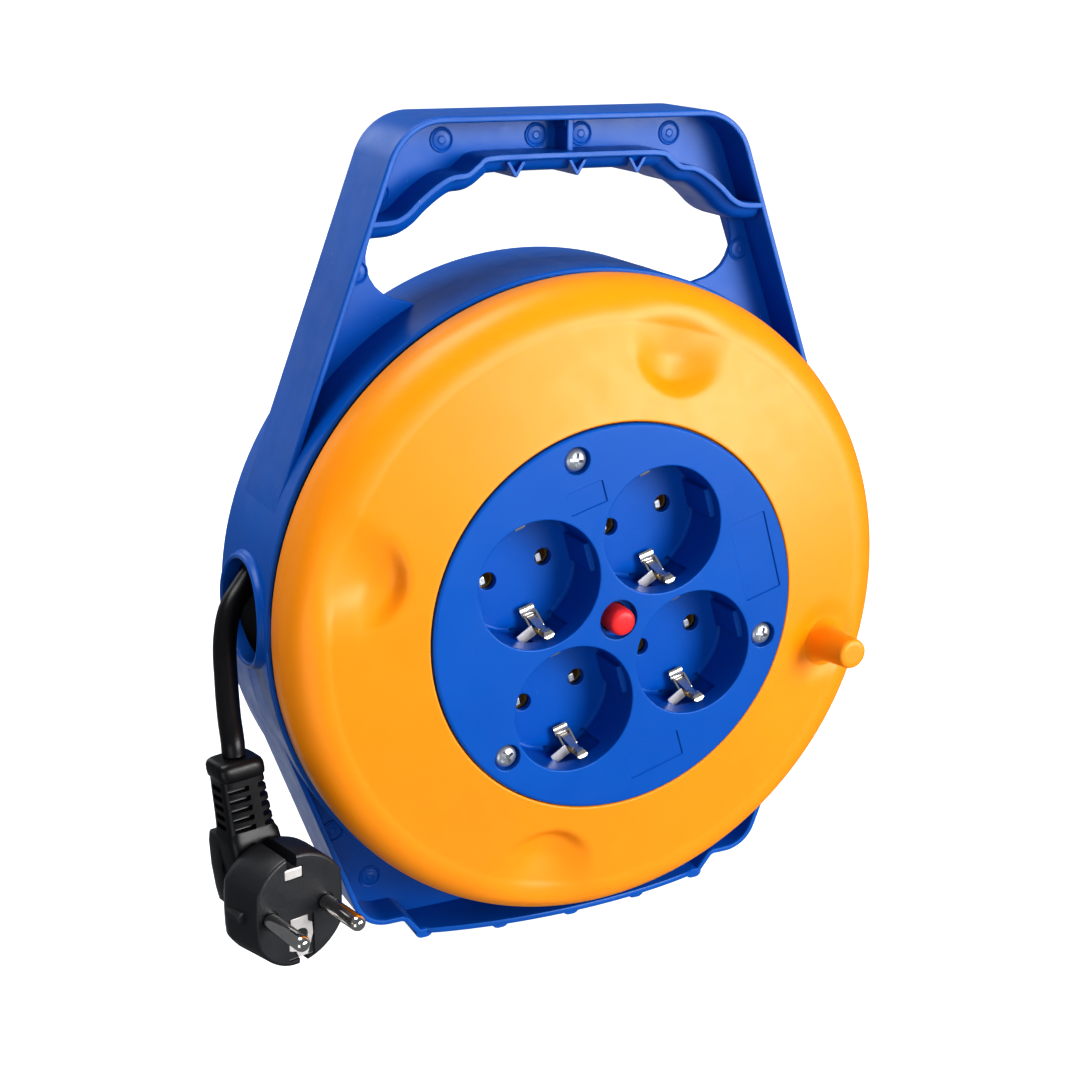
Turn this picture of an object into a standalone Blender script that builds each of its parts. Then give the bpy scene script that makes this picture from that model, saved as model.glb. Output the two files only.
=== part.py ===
"""Closed household cord reel with four earthed sockets, a crank disc and a hanging plug.

Run it with: blender --background --python part.py

Metres, +Z up, front of the reel towards -Y. The origin is on the floor, under the middle of the
reel. Every reel piece is drawn in reel coordinates: the drum axis is the Y axis through x = 0,
z = 0, and y is the depth behind the front face of the socket plate. The empty reel_axis carries
those coordinates to their place above the floor.
"""
from math import cos, pi, radians, sin, sqrt

import bmesh
import bpy
from mathutils import Matrix, Vector

# --- driving dimensions: casing ---------------------------------------------------------------
AXIS_HEIGHT = 0.1120        # drum axis above the floor
RING_R = 0.1024             # outer radius of the drum ring; the legs are tangent to it
WALL = 0.0018               # moulded wall thickness
RING_FRONT = 0.0250         # depth of the ring's front lip
RING_BACK = 0.0690          # depth of the ring's back edge
BACK_WALL_FRONT = 0.0670    # inner face of the back wall
HUB_BACK = 0.0705           # raised hub on the back wall
FLANGE_FRONT = 0.0327       # frame flange, front edge
FLANGE_BACK = 0.0615        # frame flange, back edge
WEB_FRONT = 0.0461
WEB_BACK = 0.0479
LEG_SLOPE = radians(20.0)   # the legs' outward normal above the horizontal
HANDLE_TOP = 0.1463         # top of the handle above the drum axis
HANDLE_CORNER = 0.0210
FLANGE_BOTTOM = -0.1045     # underside of the frame beside the foot
FOOT_BOTTOM = -0.1105       # underside of the foot plate
FOOT_CORNER = 0.0120
FOOT_STEP_OUT = 0.0565      # the step down to the foot plate, upper and lower end
FOOT_STEP_IN = 0.0520
FOOT_FRONT = 0.0255         # the foot plate bows out to the ring's depth in its middle
FOOT_BACK = 0.0685
NUB_SPACING = 0.0250
NUB_HALF = 0.0028
NUB_DROP = 0.0015

# --- driving dimensions: cable outlet -----------------------------------------------------------
EYE_DEPTH = 0.0450
EYE_Z = 0.0030
EYE_HALF_DEPTH = 0.0193
EYE_HALF_HEIGHT = 0.0170
EYE_RIM = 0.0018
EYE_FACE_R = 0.1042         # the raised rim's radius about the drum axis

# --- driving dimensions: drum -------------------------------------------------------------------
DRUM_TURN = radians(14.5)   # the drum rests turned clockwise, seen from the front
PLATE_TURN = radians(31.0)  # the socket plate sits turned the other way on the drum
PLATE_R = 0.0604
PLATE_THICK = 0.0026
PLATE_BORE = 0.0608         # hole in the front disc
DISC_R = 0.1012
DISC_SKIRT = 0.0238
DISC_EDGE = 0.0122          # radius of the rolled edge
DISC_CONE = 0.20            # rise of the face per unit of radius
DISC_THICK = 0.0024
SCOOP_AT = 0.0790
SCOOP_HALF = 0.0140
SCOOP_FLOOR = 0.0105
PEG_AT = 0.0800
PEG_TIP = -0.0110
PEG_BASE_R = 0.0078
PEG_TIP_R = 0.0048
BARREL_R = 0.0602
BARREL_IN = 0.0580
CORE_FLANGE_R = 0.0985
HUB_TUBE_R = 0.0140
HUB_BORE_R = 0.0115
SPIGOT_R = 0.0090
BOSS_AT = 0.0530            # plate screws
CABLE_HOLE_DEPTH = 0.0420

# --- driving dimensions: sockets ----------------------------------------------------------------
SOCKET_AT = 0.02127         # socket centres on a square, half its side
WELL_R = 0.01985
WELL_DEPTH = 0.0174
WELL_WALL = 0.0014
WELL_FLOOR = 0.0020
PIN_HALF = 0.0095           # half the pin spacing
PIN_HOLE_R = 0.00275
CLIP_AT = 0.0172            # earth clip arms, from the socket's centre
CLIP_WIDTH = 0.0056
CLIP_THICK = 0.0008
BAR_FRONT = 0.0330          # contact bars behind the wells
BAR_BACK = 0.0338
CARRIER_BACK = 0.0361
LIVE_TAP = (-0.0145, 0.0270)     # where the cores meet the bars, in plate coordinates
NEUTRAL_TAP = (-0.0080, -0.0270)
EARTH_TAP = (-0.02127, 0.0157)

# --- driving dimensions: cable and plug ----------------------------------------------------------
CABLE_R = 0.0035
WINDING_IN = 0.0606
WINDING_OUT = 0.0870
WINDING_FRONT = 0.0240
WINDING_BACK = 0.0607
PLUG_AT = (-0.1018, 0.0043, -0.0766)
PLUG_TURN = radians(13.95)
PLUG_PIN_R = 0.0024
PLUG_PIN_LENGTH = 0.0190

GAP = 0.0003                # clearance between touching pieces
REEL_ORIGIN = Vector((0.0, -(HUB_BACK + PEG_TIP) / 2.0, AXIS_HEIGHT))

# The free cable from the winding out through the outlet and down to the plug.
CABLE_ROUTE = [
    (-0.0763, 0.0500, 0.0500), (-0.0832, 0.0508, 0.0378), (-0.0890, 0.0514, 0.0262),
    (-0.0948, 0.0514, 0.0158), (-0.1008, 0.0492, 0.0096), (-0.1066, 0.0455, 0.0036),
    (-0.1098, 0.0412, -0.0050), (-0.1112, 0.0363, -0.0145), (-0.1123, 0.0310, -0.0235),
    (-0.1128, 0.0267, -0.0295), (-0.1128, 0.0259, -0.0340),
]

MATERIALS = {
    "casing_blue": ((0.010, 0.090, 0.480, 1.0), 0.38, 0.0),
    "plate_blue": ((0.010, 0.130, 0.620, 1.0), 0.36, 0.0),
    "disc_orange": ((1.000, 0.360, 0.020, 1.0), 0.45, 0.0),
    "button_red": ((0.700, 0.020, 0.030, 1.0), 0.35, 0.0),
    "cable_black": ((0.012, 0.012, 0.014, 1.0), 0.45, 0.0),
    "core_grey": ((0.055, 0.058, 0.062, 1.0), 0.50, 0.0),
    "bush_white": ((0.800, 0.790, 0.760, 1.0), 0.45, 0.0),
    "steel_zinc": ((0.620, 0.620, 0.600, 1.0), 0.30, 1.0),
    "nickel": ((0.700, 0.690, 0.660, 1.0), 0.18, 1.0),
    "brass": ((0.720, 0.500, 0.200, 1.0), 0.28, 1.0),
    "lead_brown": ((0.140, 0.050, 0.020, 1.0), 0.45, 0.0),
    "lead_blue": ((0.020, 0.100, 0.450, 1.0), 0.45, 0.0),
    "lead_green": ((0.200, 0.420, 0.040, 1.0), 0.45, 0.0),
}


# --- scene, materials, empties --------------------------------------------------------------------
def clear_scene():
    for old in list(bpy.data.objects):
        bpy.data.objects.remove(old, do_unlink=True)


def material(name):
    found = bpy.data.materials.get(name)
    if found:
        return found
    colour, roughness, metallic = MATERIALS[name]
    made = bpy.data.materials.new(name)
    made.use_nodes = True
    made.diffuse_color = colour
    shader = made.node_tree.nodes["Principled BSDF"]
    shader.inputs["Base Color"].default_value = colour
    shader.inputs["Roughness"].default_value = roughness
    shader.inputs["Metallic"].default_value = metallic
    return made


def empty(name, location, parent=None, turn=(0.0, 0.0, 0.0)):
    guide = bpy.data.objects.new(name, None)
    guide.location = location
    guide.rotation_euler = turn
    guide.parent = parent
    bpy.context.scene.collection.objects.link(guide)
    return guide


# --- modelling tools --------------------------------------------------------------------------------
def finish_mesh(name, bm, parent, slot, smooth=True):
    """Close a bmesh into a named object that hangs on an empty."""
    bmesh.ops.remove_doubles(bm, verts=bm.verts, dist=1e-6)
    bmesh.ops.recalc_face_normals(bm, faces=bm.faces)
    mesh = bpy.data.meshes.new(name)
    bm.to_mesh(mesh)
    bm.free()
    if smooth:
        mesh.shade_smooth()
        mesh.set_sharp_from_angle(angle=radians(35))
    made = bpy.data.objects.new(name, mesh)
    made.parent = parent
    bpy.context.scene.collection.objects.link(made)
    if slot:
        mesh.materials.append(material(slot))
    return made


def as_cutter(tool):
    tool.hide_render = True
    tool.display_type = "WIRE"
    return tool


def combine(target, operation, tools):
    """Add one Boolean per tool, and leave the tools as guides."""
    for tool in tools:
        as_cutter(tool)
        step = target.modifiers.new(operation.lower() + "_" + tool.name, "BOOLEAN")
        step.operation = operation
        step.solver = "EXACT"
        step.object = tool
    return target


def turned(name, profile, steps, parent, slot=None, centre=(0.0, 0.0)):
    """Spin (radius, depth) points about the line x, z = centre; ends on the axis stay open."""
    bm = bmesh.new()
    cx, cz = centre
    verts = [bm.verts.new((cx + r, y, cz)) for r, y in profile]
    edges = [bm.edges.new(pair) for pair in zip(verts[:-1], verts[1:])]
    if profile[0][0] > 0.0 or profile[-1][0] > 0.0:
        edges.append(bm.edges.new((verts[-1], verts[0])))
    bmesh.ops.spin(
        bm, geom=verts + edges, cent=(cx, 0.0, cz), axis=(0.0, 1.0, 0.0),
        angle=2.0 * pi, steps=steps, use_merge=True,
    )
    return finish_mesh(name, bm, parent, slot)


def extruded(name, points, vector, parent, slot=None):
    """Fill a closed outline of 3-D points and extrude it along a vector."""
    bm = bmesh.new()
    face = bm.faces.new([bm.verts.new(p) for p in points])
    grown = bmesh.ops.extrude_face_region(bm, geom=[face])
    moved = [v for v in grown["geom"] if isinstance(v, bmesh.types.BMVert)]
    bmesh.ops.translate(bm, verts=moved, vec=vector)
    return finish_mesh(name, bm, parent, slot)


def prism(name, outline, front, back, parent, slot=None):
    """Extrude an (x, z) outline from one depth to another."""
    points = [(x, front, z) for x, z in outline]
    return extruded(name, points, (0.0, back - front, 0.0), parent, slot)


def slab(name, outline, bottom, top, parent, slot=None):
    """Extrude an (x, depth) outline upwards."""
    points = [(x, y, bottom) for x, y in outline]
    return extruded(name, points, (0.0, 0.0, top - bottom), parent, slot)


def box(name, low, high, parent, slot=None):
    corners = [(low[0], low[2]), (high[0], low[2]), (high[0], high[2]), (low[0], high[2])]
    return prism(name, corners, low[1], high[1], parent, slot)


def rod(name, start, end, radius, sides, parent, slot=None):
    """A straight round bar between two points."""
    along = end - start
    across = along.orthogonal().normalized()
    other = along.normalized().cross(across)
    ring = [
        start + radius * (across * cos(2 * pi * i / sides) + other * sin(2 * pi * i / sides))
        for i in range(sides)
    ]
    return extruded(name, ring, along, parent, slot)


def tube(name, points, radius, parent, slot, sides=2):
    """A curve with a round bevel and filled ends."""
    curve = bpy.data.curves.new(name, "CURVE")
    curve.dimensions = "3D"
    curve.bevel_depth = radius
    curve.bevel_resolution = sides
    curve.resolution_u = 1
    curve.render_resolution_u = 0
    curve.use_fill_caps = True
    spline = curve.splines.new("POLY")
    spline.points.add(len(points) - 1)
    for point, place in zip(spline.points, points):
        point.co = (place[0], place[1], place[2], 1.0)
    made = bpy.data.objects.new(name, curve)
    made.parent = parent
    curve.materials.append(material(slot))
    bpy.context.scene.collection.objects.link(made)
    return made


def arc(cx, cz, radius, start, end, steps):
    """Points on an arc, ends included; angles in radians from +X towards +Z."""
    return [
        (cx + radius * cos(start + (end - start) * i / steps),
         cz + radius * sin(start + (end - start) * i / steps))
        for i in range(steps + 1)
    ]


def circle(cx, cz, radius, count):
    """A circle whose corners keep off the axes, so that two cuts never share an edge."""
    return arc(cx, cz, radius, 0.04, 0.04 + 2.0 * pi * (count - 1) / count, count - 1)


def oval(cx, cz, half_x, half_z, count):
    return [
        (cx + half_x * cos(2.0 * pi * i / count), cz + half_z * sin(2.0 * pi * i / count))
        for i in range(count)
    ]


def mirrored(half):
    """Close a right-hand half outline with its mirror image in x = 0."""
    return half + [(-x, z) for x, z in reversed(half) if x > 1e-9]


def smooth_route(points, spacing):
    """Even points on a Catmull-Rom curve through a route's own points."""
    knots = [Vector(p) for p in points]
    knots = [2 * knots[0] - knots[1]] + knots + [2 * knots[-1] - knots[-2]]
    fine = []
    for a, b, c, d in zip(knots, knots[1:], knots[2:], knots[3:]):
        for i in range(24):
            t = i / 24.0
            fine.append(0.5 * (2 * b + (c - a) * t + (2 * a - 5 * b + 4 * c - d) * t * t
                               + (3 * b - a - 3 * c + d) * t ** 3))
    fine.append(knots[-2])
    total = sum((q - p).length for p, q in zip(fine, fine[1:]))
    count = max(2, round(total / spacing))
    result = [fine[0]]
    walked = 0.0
    for p, q in zip(fine, fine[1:]):
        step = (q - p).length
        while len(result) < count and walked + step >= total * len(result) / count:
            share = (total * len(result) / count - walked) / step
            result.append(p.lerp(q, share))
        walked += step
    result.append(fine[-1])
    return result


# --- casing -------------------------------------------------------------------------------------
def frame_outline(inset):
    """The frame seen from the front: handle, tangent legs and stepped foot.

    Between the legs' tangent points the outline runs inside the ring's own wall.
    """
    share = inset / WALL
    leg_end = LEG_SLOPE + radians(1.0 + 3.0 * share)
    leg_end_r = (RING_R - inset) / cos(leg_end - LEG_SLOPE)
    buried_r = RING_R - 0.0006 - 0.0008 * share
    corner_z = HANDLE_TOP - HANDLE_CORNER
    corner_x = (RING_R - HANDLE_CORNER - corner_z * sin(LEG_SLOPE)) / cos(LEG_SLOPE)
    foot_z = FLANGE_BOTTOM + FOOT_CORNER
    foot_x = (RING_R - FOOT_CORNER + foot_z * sin(LEG_SLOPE)) / cos(LEG_SLOPE)
    half = [(0.0, HANDLE_TOP - inset)]
    half += arc(corner_x, corner_z, HANDLE_CORNER - inset, pi / 2, LEG_SLOPE, 6)
    half += arc(0.0, 0.0, leg_end_r, leg_end, leg_end, 1)[:1]
    half += arc(0.0, 0.0, buried_r, radians(15.0), radians(-15.0), 6)
    half += arc(0.0, 0.0, leg_end_r, -leg_end, -leg_end, 1)[:1]
    half += arc(foot_x, foot_z, FOOT_CORNER - inset, -LEG_SLOPE, -pi / 2, 4)
    half += [
        (FOOT_STEP_OUT - 0.6 * inset, FLANGE_BOTTOM + inset),
        (FOOT_STEP_IN - 0.6 * inset, FOOT_BOTTOM + inset),
        (0.0, FOOT_BOTTOM + inset),
    ]
    return mirrored(half)


def grip_half():
    """Upper and lower edge of the grip's lower wall, from the middle to the leg."""
    upper = [
        (0.0, 0.1335), (0.0260, 0.1333), (0.0310, 0.1319), (0.0350, 0.1292), (0.0398, 0.1284),
        (0.0443, 0.1271), (0.0493, 0.1238), (0.0529, 0.1207), (0.0570, 0.1180), (0.0615, 0.1167),
        (0.0660, 0.1165),
    ]
    lower = [
        (0.0664, 0.1147), (0.0613, 0.1149), (0.0561, 0.1163), (0.0518, 0.1191), (0.0482, 0.1222),
        (0.0437, 0.1254), (0.0394, 0.1266), (0.0345, 0.1274), (0.0300, 0.1291), (0.0260, 0.1295),
        (0.0, 0.1295),
    ]
    return upper, lower


def make_band(name, parent, slot):
    """The frame's flange: the outline's band, extruded over the flange's depth."""
    bm = bmesh.new()
    loops = []
    for inset in (0.0, WALL):
        verts = [bm.verts.new((x, FLANGE_FRONT, z)) for x, z in frame_outline(inset)]
        loops.append([bm.edges.new((a, b)) for a, b in zip(verts, verts[1:] + verts[:1])])
    bmesh.ops.bridge_loops(bm, edges=loops[0] + loops[1])
    grown = bmesh.ops.extrude_face_region(bm, geom=bm.faces[:])
    moved = [v for v in grown["geom"] if isinstance(v, bmesh.types.BMVert)]
    bmesh.ops.translate(bm, verts=moved, vec=(0.0, FLANGE_BACK - FLANGE_FRONT, 0.0))
    return finish_mesh(name, bm, parent, slot)


def make_web(reel):
    """The plate at the frame's mid depth, with the hand opening."""
    web = prism("casing_web", frame_outline(WALL / 2), WEB_FRONT, WEB_BACK, reel)
    upper, lower = grip_half()
    middle = [(a[0], (a[1] + b[1]) / 2) for a, b in zip(upper, reversed(lower))]
    hole = [p for p in middle if p[0] < 0.060]
    hole += [(0.0603, 0.1140), (0.0620, 0.1063), (0.0611, 0.0993), (0.0572, 0.0941),
             (0.0520, 0.0914), (0.0462, 0.0905)]
    hole.append((0.0, RING_R - WALL / 2))
    opening = prism("hand_opening", mirrored(hole), WEB_FRONT - 0.005, WEB_BACK + 0.005, reel)
    return combine(web, "DIFFERENCE", [opening])


def make_foot(reel):
    """The foot plate: its front and back edges bow out to the ring's depth."""
    half_length = FOOT_STEP_IN - 0.0002
    steps = 8
    front = []
    for i in range(steps + 1):
        x = -half_length + 2 * half_length * i / steps
        bow = 1.0 - (x / half_length) ** 2
        front.append((x, FLANGE_FRONT + 0.0002 - (FLANGE_FRONT - FOOT_FRONT) * bow))
    back = []
    for x, y in reversed(front):
        back.append((x, FLANGE_FRONT + FLANGE_BACK - y))
    return slab("foot_plate", front + back, FOOT_BOTTOM + 0.00005, FOOT_BOTTOM + WALL - 0.0001, reel)


def make_casing(reel):
    """One blue moulding: ring, back wall, spigot, frame, grip, foot and cable outlet."""
    drum_case = [
        (0.0, HUB_BACK), (0.0230, HUB_BACK), (0.0242, RING_BACK), (RING_R - 0.0006, RING_BACK),
        (RING_R, RING_BACK - 0.0006), (RING_R, RING_FRONT + 0.0005), (RING_R - 0.0005, RING_FRONT),
        (0.0, RING_FRONT),
    ]
    casing = turned("casing", drum_case, 72, reel, "casing_blue")
    band = make_band("frame_band", reel, None)
    upper, lower = grip_half()
    left = [(-x, z) for x, z in reversed(upper[1:])]
    right_back = [(-x, z) for x, z in reversed(lower[:-1])]
    wall = prism("grip_wall", left + upper + lower + right_back, FLANGE_FRONT + 0.0002,
                 FLANGE_BACK - 0.0002, reel)
    ribs = [box("grip_rib", (-0.0010, 0.0375, 0.1320), (0.0010, 0.0565, 0.1455), reel)]
    for i in (-1, 0, 1):
        x = 0.020 * i
        outline = [(x - 0.0027, 0.1300), (x, 0.1284), (x + 0.0027, 0.1300)]
        ribs.append(prism("finger_ridge_%d" % (i + 2), outline, 0.0365, 0.0577, reel))
    nubs = []
    for i in range(-2, 3):
        x = NUB_SPACING * i
        low = arc(0.0, 0.0, 1.0, pi, 2 * pi, 5)
        outline = [(x + NUB_HALF * u, FOOT_BOTTOM + NUB_DROP * w / sin(radians(72))) for u, w in low]
        outline += [(x + NUB_HALF, FOOT_BOTTOM + 0.0005), (x - NUB_HALF, FOOT_BOTTOM + 0.0005)]
        start = FLANGE_FRONT + 0.0010 - 0.0060 * (1.0 - (x / FOOT_STEP_IN) ** 2)
        finish = FLANGE_FRONT + FLANGE_BACK - start
        nubs.append(prism("foot_nub_%d" % (i + 3), outline, start, finish, reel))
    eye = extruded(
        "outlet_rim",
        [(-0.1200, y, z) for y, z in oval(EYE_DEPTH, EYE_Z, EYE_HALF_DEPTH, EYE_HALF_HEIGHT, 24)],
        (0.0280, 0.0, 0.0), reel,
    )
    limit = turned(
        "outlet_limit", [(0.0, 0.0), (EYE_FACE_R, 0.0), (EYE_FACE_R, 0.080), (0.0, 0.080)], 96, reel
    )
    combine(eye, "INTERSECT", [limit])
    combine(casing, "UNION", [band, make_web(reel), wall, make_foot(reel), eye] + ribs + nubs)
    inside = RING_R - WALL
    cavity = turned(
        "drum_cavity",
        [(0.0, 0.0100), (inside, 0.0100), (inside, BACK_WALL_FRONT - 0.0015),
         (inside - 0.0015, BACK_WALL_FRONT), (SPIGOT_R + 0.0015, BACK_WALL_FRONT),
         (SPIGOT_R, BACK_WALL_FRONT - 0.0012), (SPIGOT_R, 0.0483), (0.0, 0.0483)],
        72, reel,
    )
    screw_way = prism("spigot_bore", circle(0.0, 0.0, 0.0026, 16), 0.0470, 0.0640, reel)
    bore = extruded(
        "outlet_bore",
        [(-0.1200, y, z) for y, z in oval(EYE_DEPTH, EYE_Z, EYE_HALF_DEPTH - EYE_RIM,
                                          EYE_HALF_HEIGHT - EYE_RIM, 24)],
        (0.0280, 0.0, 0.0), reel,
    )
    combine(casing, "DIFFERENCE", [cavity, screw_way, bore])
    return casing


# --- drum -----------------------------------------------------------------------------------------
def disc_face(r):
    """Depth of the front disc's outer face at a radius."""
    edge_start = DISC_R - DISC_EDGE
    cone = 0.0006 + DISC_CONE * (min(r, edge_start) - PLATE_BORE)
    if r <= edge_start:
        return cone
    across = min(1.0, (r - edge_start) / DISC_EDGE)
    return cone + DISC_EDGE * (1.0 - sqrt(1.0 - across * across))


def scoop_depth(x, z):
    """Extra depth of the three finger scoops, at 90, 180 and 270 degrees from the peg."""
    deepest = 0.0
    for cx, cz in ((0.0, 1.0), (-1.0, 0.0), (0.0, -1.0)):
        out = x * cx + z * cz - SCOOP_AT
        side = x * cz - z * cx
        spread = (out / SCOOP_HALF) ** 2 + (side / SCOOP_HALF) ** 2
        if spread < 1.0:
            floor = SCOOP_FLOOR * (1.0 - spread ** 1.6)
            deepest = max(deepest, floor - disc_face(sqrt(x * x + z * z)))
    return deepest


def make_front_disc(drum):
    """The crank disc: a domed shell with three scoops and a fixed peg."""
    outer_r = [PLATE_BORE, 0.0650, 0.0690, 0.0740, 0.0790, 0.0840, DISC_R - DISC_EDGE, 0.0940,
               0.0975, 0.1000, DISC_R]
    profile = [(r, disc_face(r)) for r in outer_r] + [(DISC_R, DISC_SKIRT)]
    skirt_in = DISC_R - DISC_THICK
    inner_r = [0.0960, 0.0890, 0.0840, 0.0790, 0.0740, 0.0690, 0.0650]
    profile += [(skirt_in, DISC_SKIRT), (skirt_in, disc_face(DISC_R) + 0.0010)]
    profile += [(r, disc_face(r) + DISC_THICK) for r in inner_r]
    profile += [(0.0628, 0.0034), (0.0628, 0.0054), (0.0591, 0.0054), (0.0591, 0.0032),
                (PLATE_BORE, 0.0032)]
    disc = turned("front_disc", profile, 60, drum, "disc_orange")
    for vert in disc.data.vertices:
        x, y, z = vert.co
        if sqrt(x * x + z * z) > PLATE_BORE + 0.0005:
            vert.co.y = y + scoop_depth(x, z)
    peg_foot = disc_face(PEG_AT) + 0.0012
    peg = turned(
        "crank_peg",
        [(0.0, PEG_TIP), (PEG_TIP_R - 0.0012, PEG_TIP), (PEG_TIP_R, PEG_TIP + 0.0012),
         (PEG_TIP_R + 0.0009, -0.0020), (PEG_BASE_R, peg_foot), (0.0, peg_foot)],
        16, drum, centre=(PEG_AT, 0.0),
    )
    return combine(disc, "UNION", [peg])


def make_drum_core(drum):
    """Winding barrel with back flange, partition, hub tube and three screw bosses."""
    front = 0.0057
    profile = [
        (BARREL_IN, front), (BARREL_R, front), (BARREL_R, 0.0612), (CORE_FLANGE_R, 0.0612),
        (CORE_FLANGE_R, 0.0632), (BARREL_IN, 0.0632), (BARREL_IN, 0.0520), (HUB_TUBE_R, 0.0520),
        (HUB_TUBE_R, 0.0664), (HUB_BORE_R, 0.0664), (HUB_BORE_R, 0.0484), (HUB_TUBE_R, 0.0484),
        (HUB_TUBE_R, 0.0500), (BARREL_IN, 0.0500),
    ]
    core = turned("drum_core", profile, 54, drum, "core_grey")
    bosses = []
    holes = []
    for i, angle in enumerate(screw_angles()):
        turn = angle + PLATE_TURN
        x = BOSS_AT * cos(turn)
        z = BOSS_AT * sin(turn)
        bosses.append(prism("screw_boss_%d" % (i + 1), circle(x, z, 0.0035, 12), 0.0060, 0.0510, drum))
        holes.append(prism("boss_hole_%d" % (i + 1), circle(x, z, 0.0018, 8), 0.0, 0.0250, drum))
    combine(core, "UNION", bosses)
    outside, inside = cable_entry()
    hole = rod("barrel_hole", outside, inside, CABLE_R + 0.0012, 16, drum)
    combine(core, "DIFFERENCE", holes + [hole])
    return core


def screw_angles():
    """The plate screws' angles about the axis, in plate coordinates."""
    return [radians(90.0 + 120.0 * i) for i in range(3)]


def cable_entry():
    """Where the cable passes the barrel wall, in drum coordinates."""
    angle = radians(-97.0)
    outside = Vector((0.0640 * cos(angle), CABLE_HOLE_DEPTH, 0.0640 * sin(angle)))
    inside = Vector((0.0500 * cos(angle), CABLE_HOLE_DEPTH, 0.0500 * sin(angle)))
    return outside, inside


# --- sockets ----------------------------------------------------------------------------------------
def socket_centres():
    a = SOCKET_AT
    return [(-a, a), (a, a), (a, -a), (-a, -a)]


def make_socket_plate(plate):
    """Blue plate with four wells, a button well and recessed screw seats."""
    made = prism("socket_plate", circle(0.0, 0.0, PLATE_R, 56), 0.0, PLATE_THICK, plate, "plate_blue")
    added = []
    cut = []
    for i, (x, z) in enumerate(socket_centres()):
        back = WELL_DEPTH + WELL_FLOOR
        added.append(prism("well_%d" % (i + 1), circle(x, z, WELL_R + WELL_WALL, 28), 0.0010, back, plate))
        well = prism("well_bore_%d" % (i + 1), circle(x, z, WELL_R, 28), -0.0010, WELL_DEPTH, plate)
        guides = []
        for side in (-1, 1):
            near = x + side * (WELL_R - 0.0021)
            far = x + side * (WELL_R + 0.0010)
            guides.append(box("guide_%d_%d" % (i + 1, side), (min(near, far), 0.0030, z - 0.0045),
                              (max(near, far), WELL_DEPTH + 0.0010, z + 0.0045), plate))
        combine(well, "DIFFERENCE", guides)
        cut.append(well)
        for side in (-1, 1):
            px = x + side * PIN_HALF
            cut.append(prism("pin_hole_%d_%d" % (i + 1, side), circle(px, z, PIN_HOLE_R, 12),
                             WELL_DEPTH - 0.0010, back + 0.0010, plate))
            near = z + side * (CLIP_AT - 0.0011)
            far = z + side * (CLIP_AT + 0.0012)
            half = CLIP_WIDTH / 2 + 0.0004
            cut.append(box("clip_slot_%d_%d" % (i + 1, side),
                           (x - half, WELL_DEPTH - 0.0010, min(near, far)),
                           (x + half, back + 0.0010, max(near, far)), plate))
    for i, angle in enumerate(screw_angles()):
        x = BOSS_AT * cos(angle)
        z = BOSS_AT * sin(angle)
        added.append(prism("seat_%d" % (i + 1), circle(x, z, 0.0056, 16), 0.0010, 0.0052, plate))
        cut.append(prism("seat_bore_%d" % (i + 1), circle(x, z, 0.0042, 16), -0.0010, 0.0030, plate))
        cut.append(prism("screw_way_%d" % (i + 1), circle(x, z, 0.0022, 10), 0.0, 0.0062, plate))
    cut.append(prism("button_bore", circle(0.0, 0.0, 0.0062, 24), -0.0010, 0.0040, plate))
    return combine(combine(made, "UNION", added), "DIFFERENCE", cut)


def make_earth_clip(index, plate):
    """A bent strip: along the back of the well and forward through both slots."""
    x, z = socket_centres()[index]
    t = CLIP_THICK
    reach = CLIP_AT
    base = WELL_DEPTH + WELL_FLOOR + GAP
    half = [
        (0.0, base + t), (reach + t, base + t), (reach + t, 0.0075), (reach - 0.0014, 0.0045),
        (reach + 0.0004, 0.0025), (reach - 0.0004, 0.0020), (reach - 0.0024, 0.0044),
        (reach, 0.0082), (reach, base), (0.0, base),
    ]
    ring = half + [(-u, v) for u, v in reversed(half[1:-1])]
    points = [(x - CLIP_WIDTH / 2, v, z + u) for u, v in ring]
    return extruded("earth_clip_%d" % (index + 1), points, (CLIP_WIDTH, 0.0, 0.0), plate, "nickel")


def make_busbar(name, columns, side, plate):
    """A stamped comb: one strip per column of pin holes, with a pin tulip behind each hole."""
    half = 0.0025
    tip = SOCKET_AT + 0.0036
    yoke = (0.0255, 0.0285)
    made = box(name, (min(columns) - half, BAR_FRONT, min(side * yoke[0], side * yoke[1])),
               (max(columns) + half, BAR_BACK, max(side * yoke[0], side * yoke[1])), plate, "brass")
    added = []
    bores = []
    for i, x in enumerate(columns):
        ends = sorted((-side * tip, side * yoke[1]))
        added.append(box("%s_strip_%d" % (name, i + 1), (x - half, BAR_FRONT, ends[0]),
                         (x + half, BAR_BACK, ends[1]), plate))
        for j, z in enumerate((-SOCKET_AT, SOCKET_AT)):
            tag = "%s_%d_%d" % (name, i + 1, j + 1)
            added.append(prism("tulip_" + tag, circle(x, z, 0.0033, 10), 0.0208, BAR_FRONT + 0.0004, plate))
            bores.append(prism("tulip_bore_" + tag, circle(x, z, 0.0025, 10), 0.0200, BAR_FRONT - 0.0008,
                               plate))
    return combine(combine(made, "UNION", added), "DIFFERENCE", bores)


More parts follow.
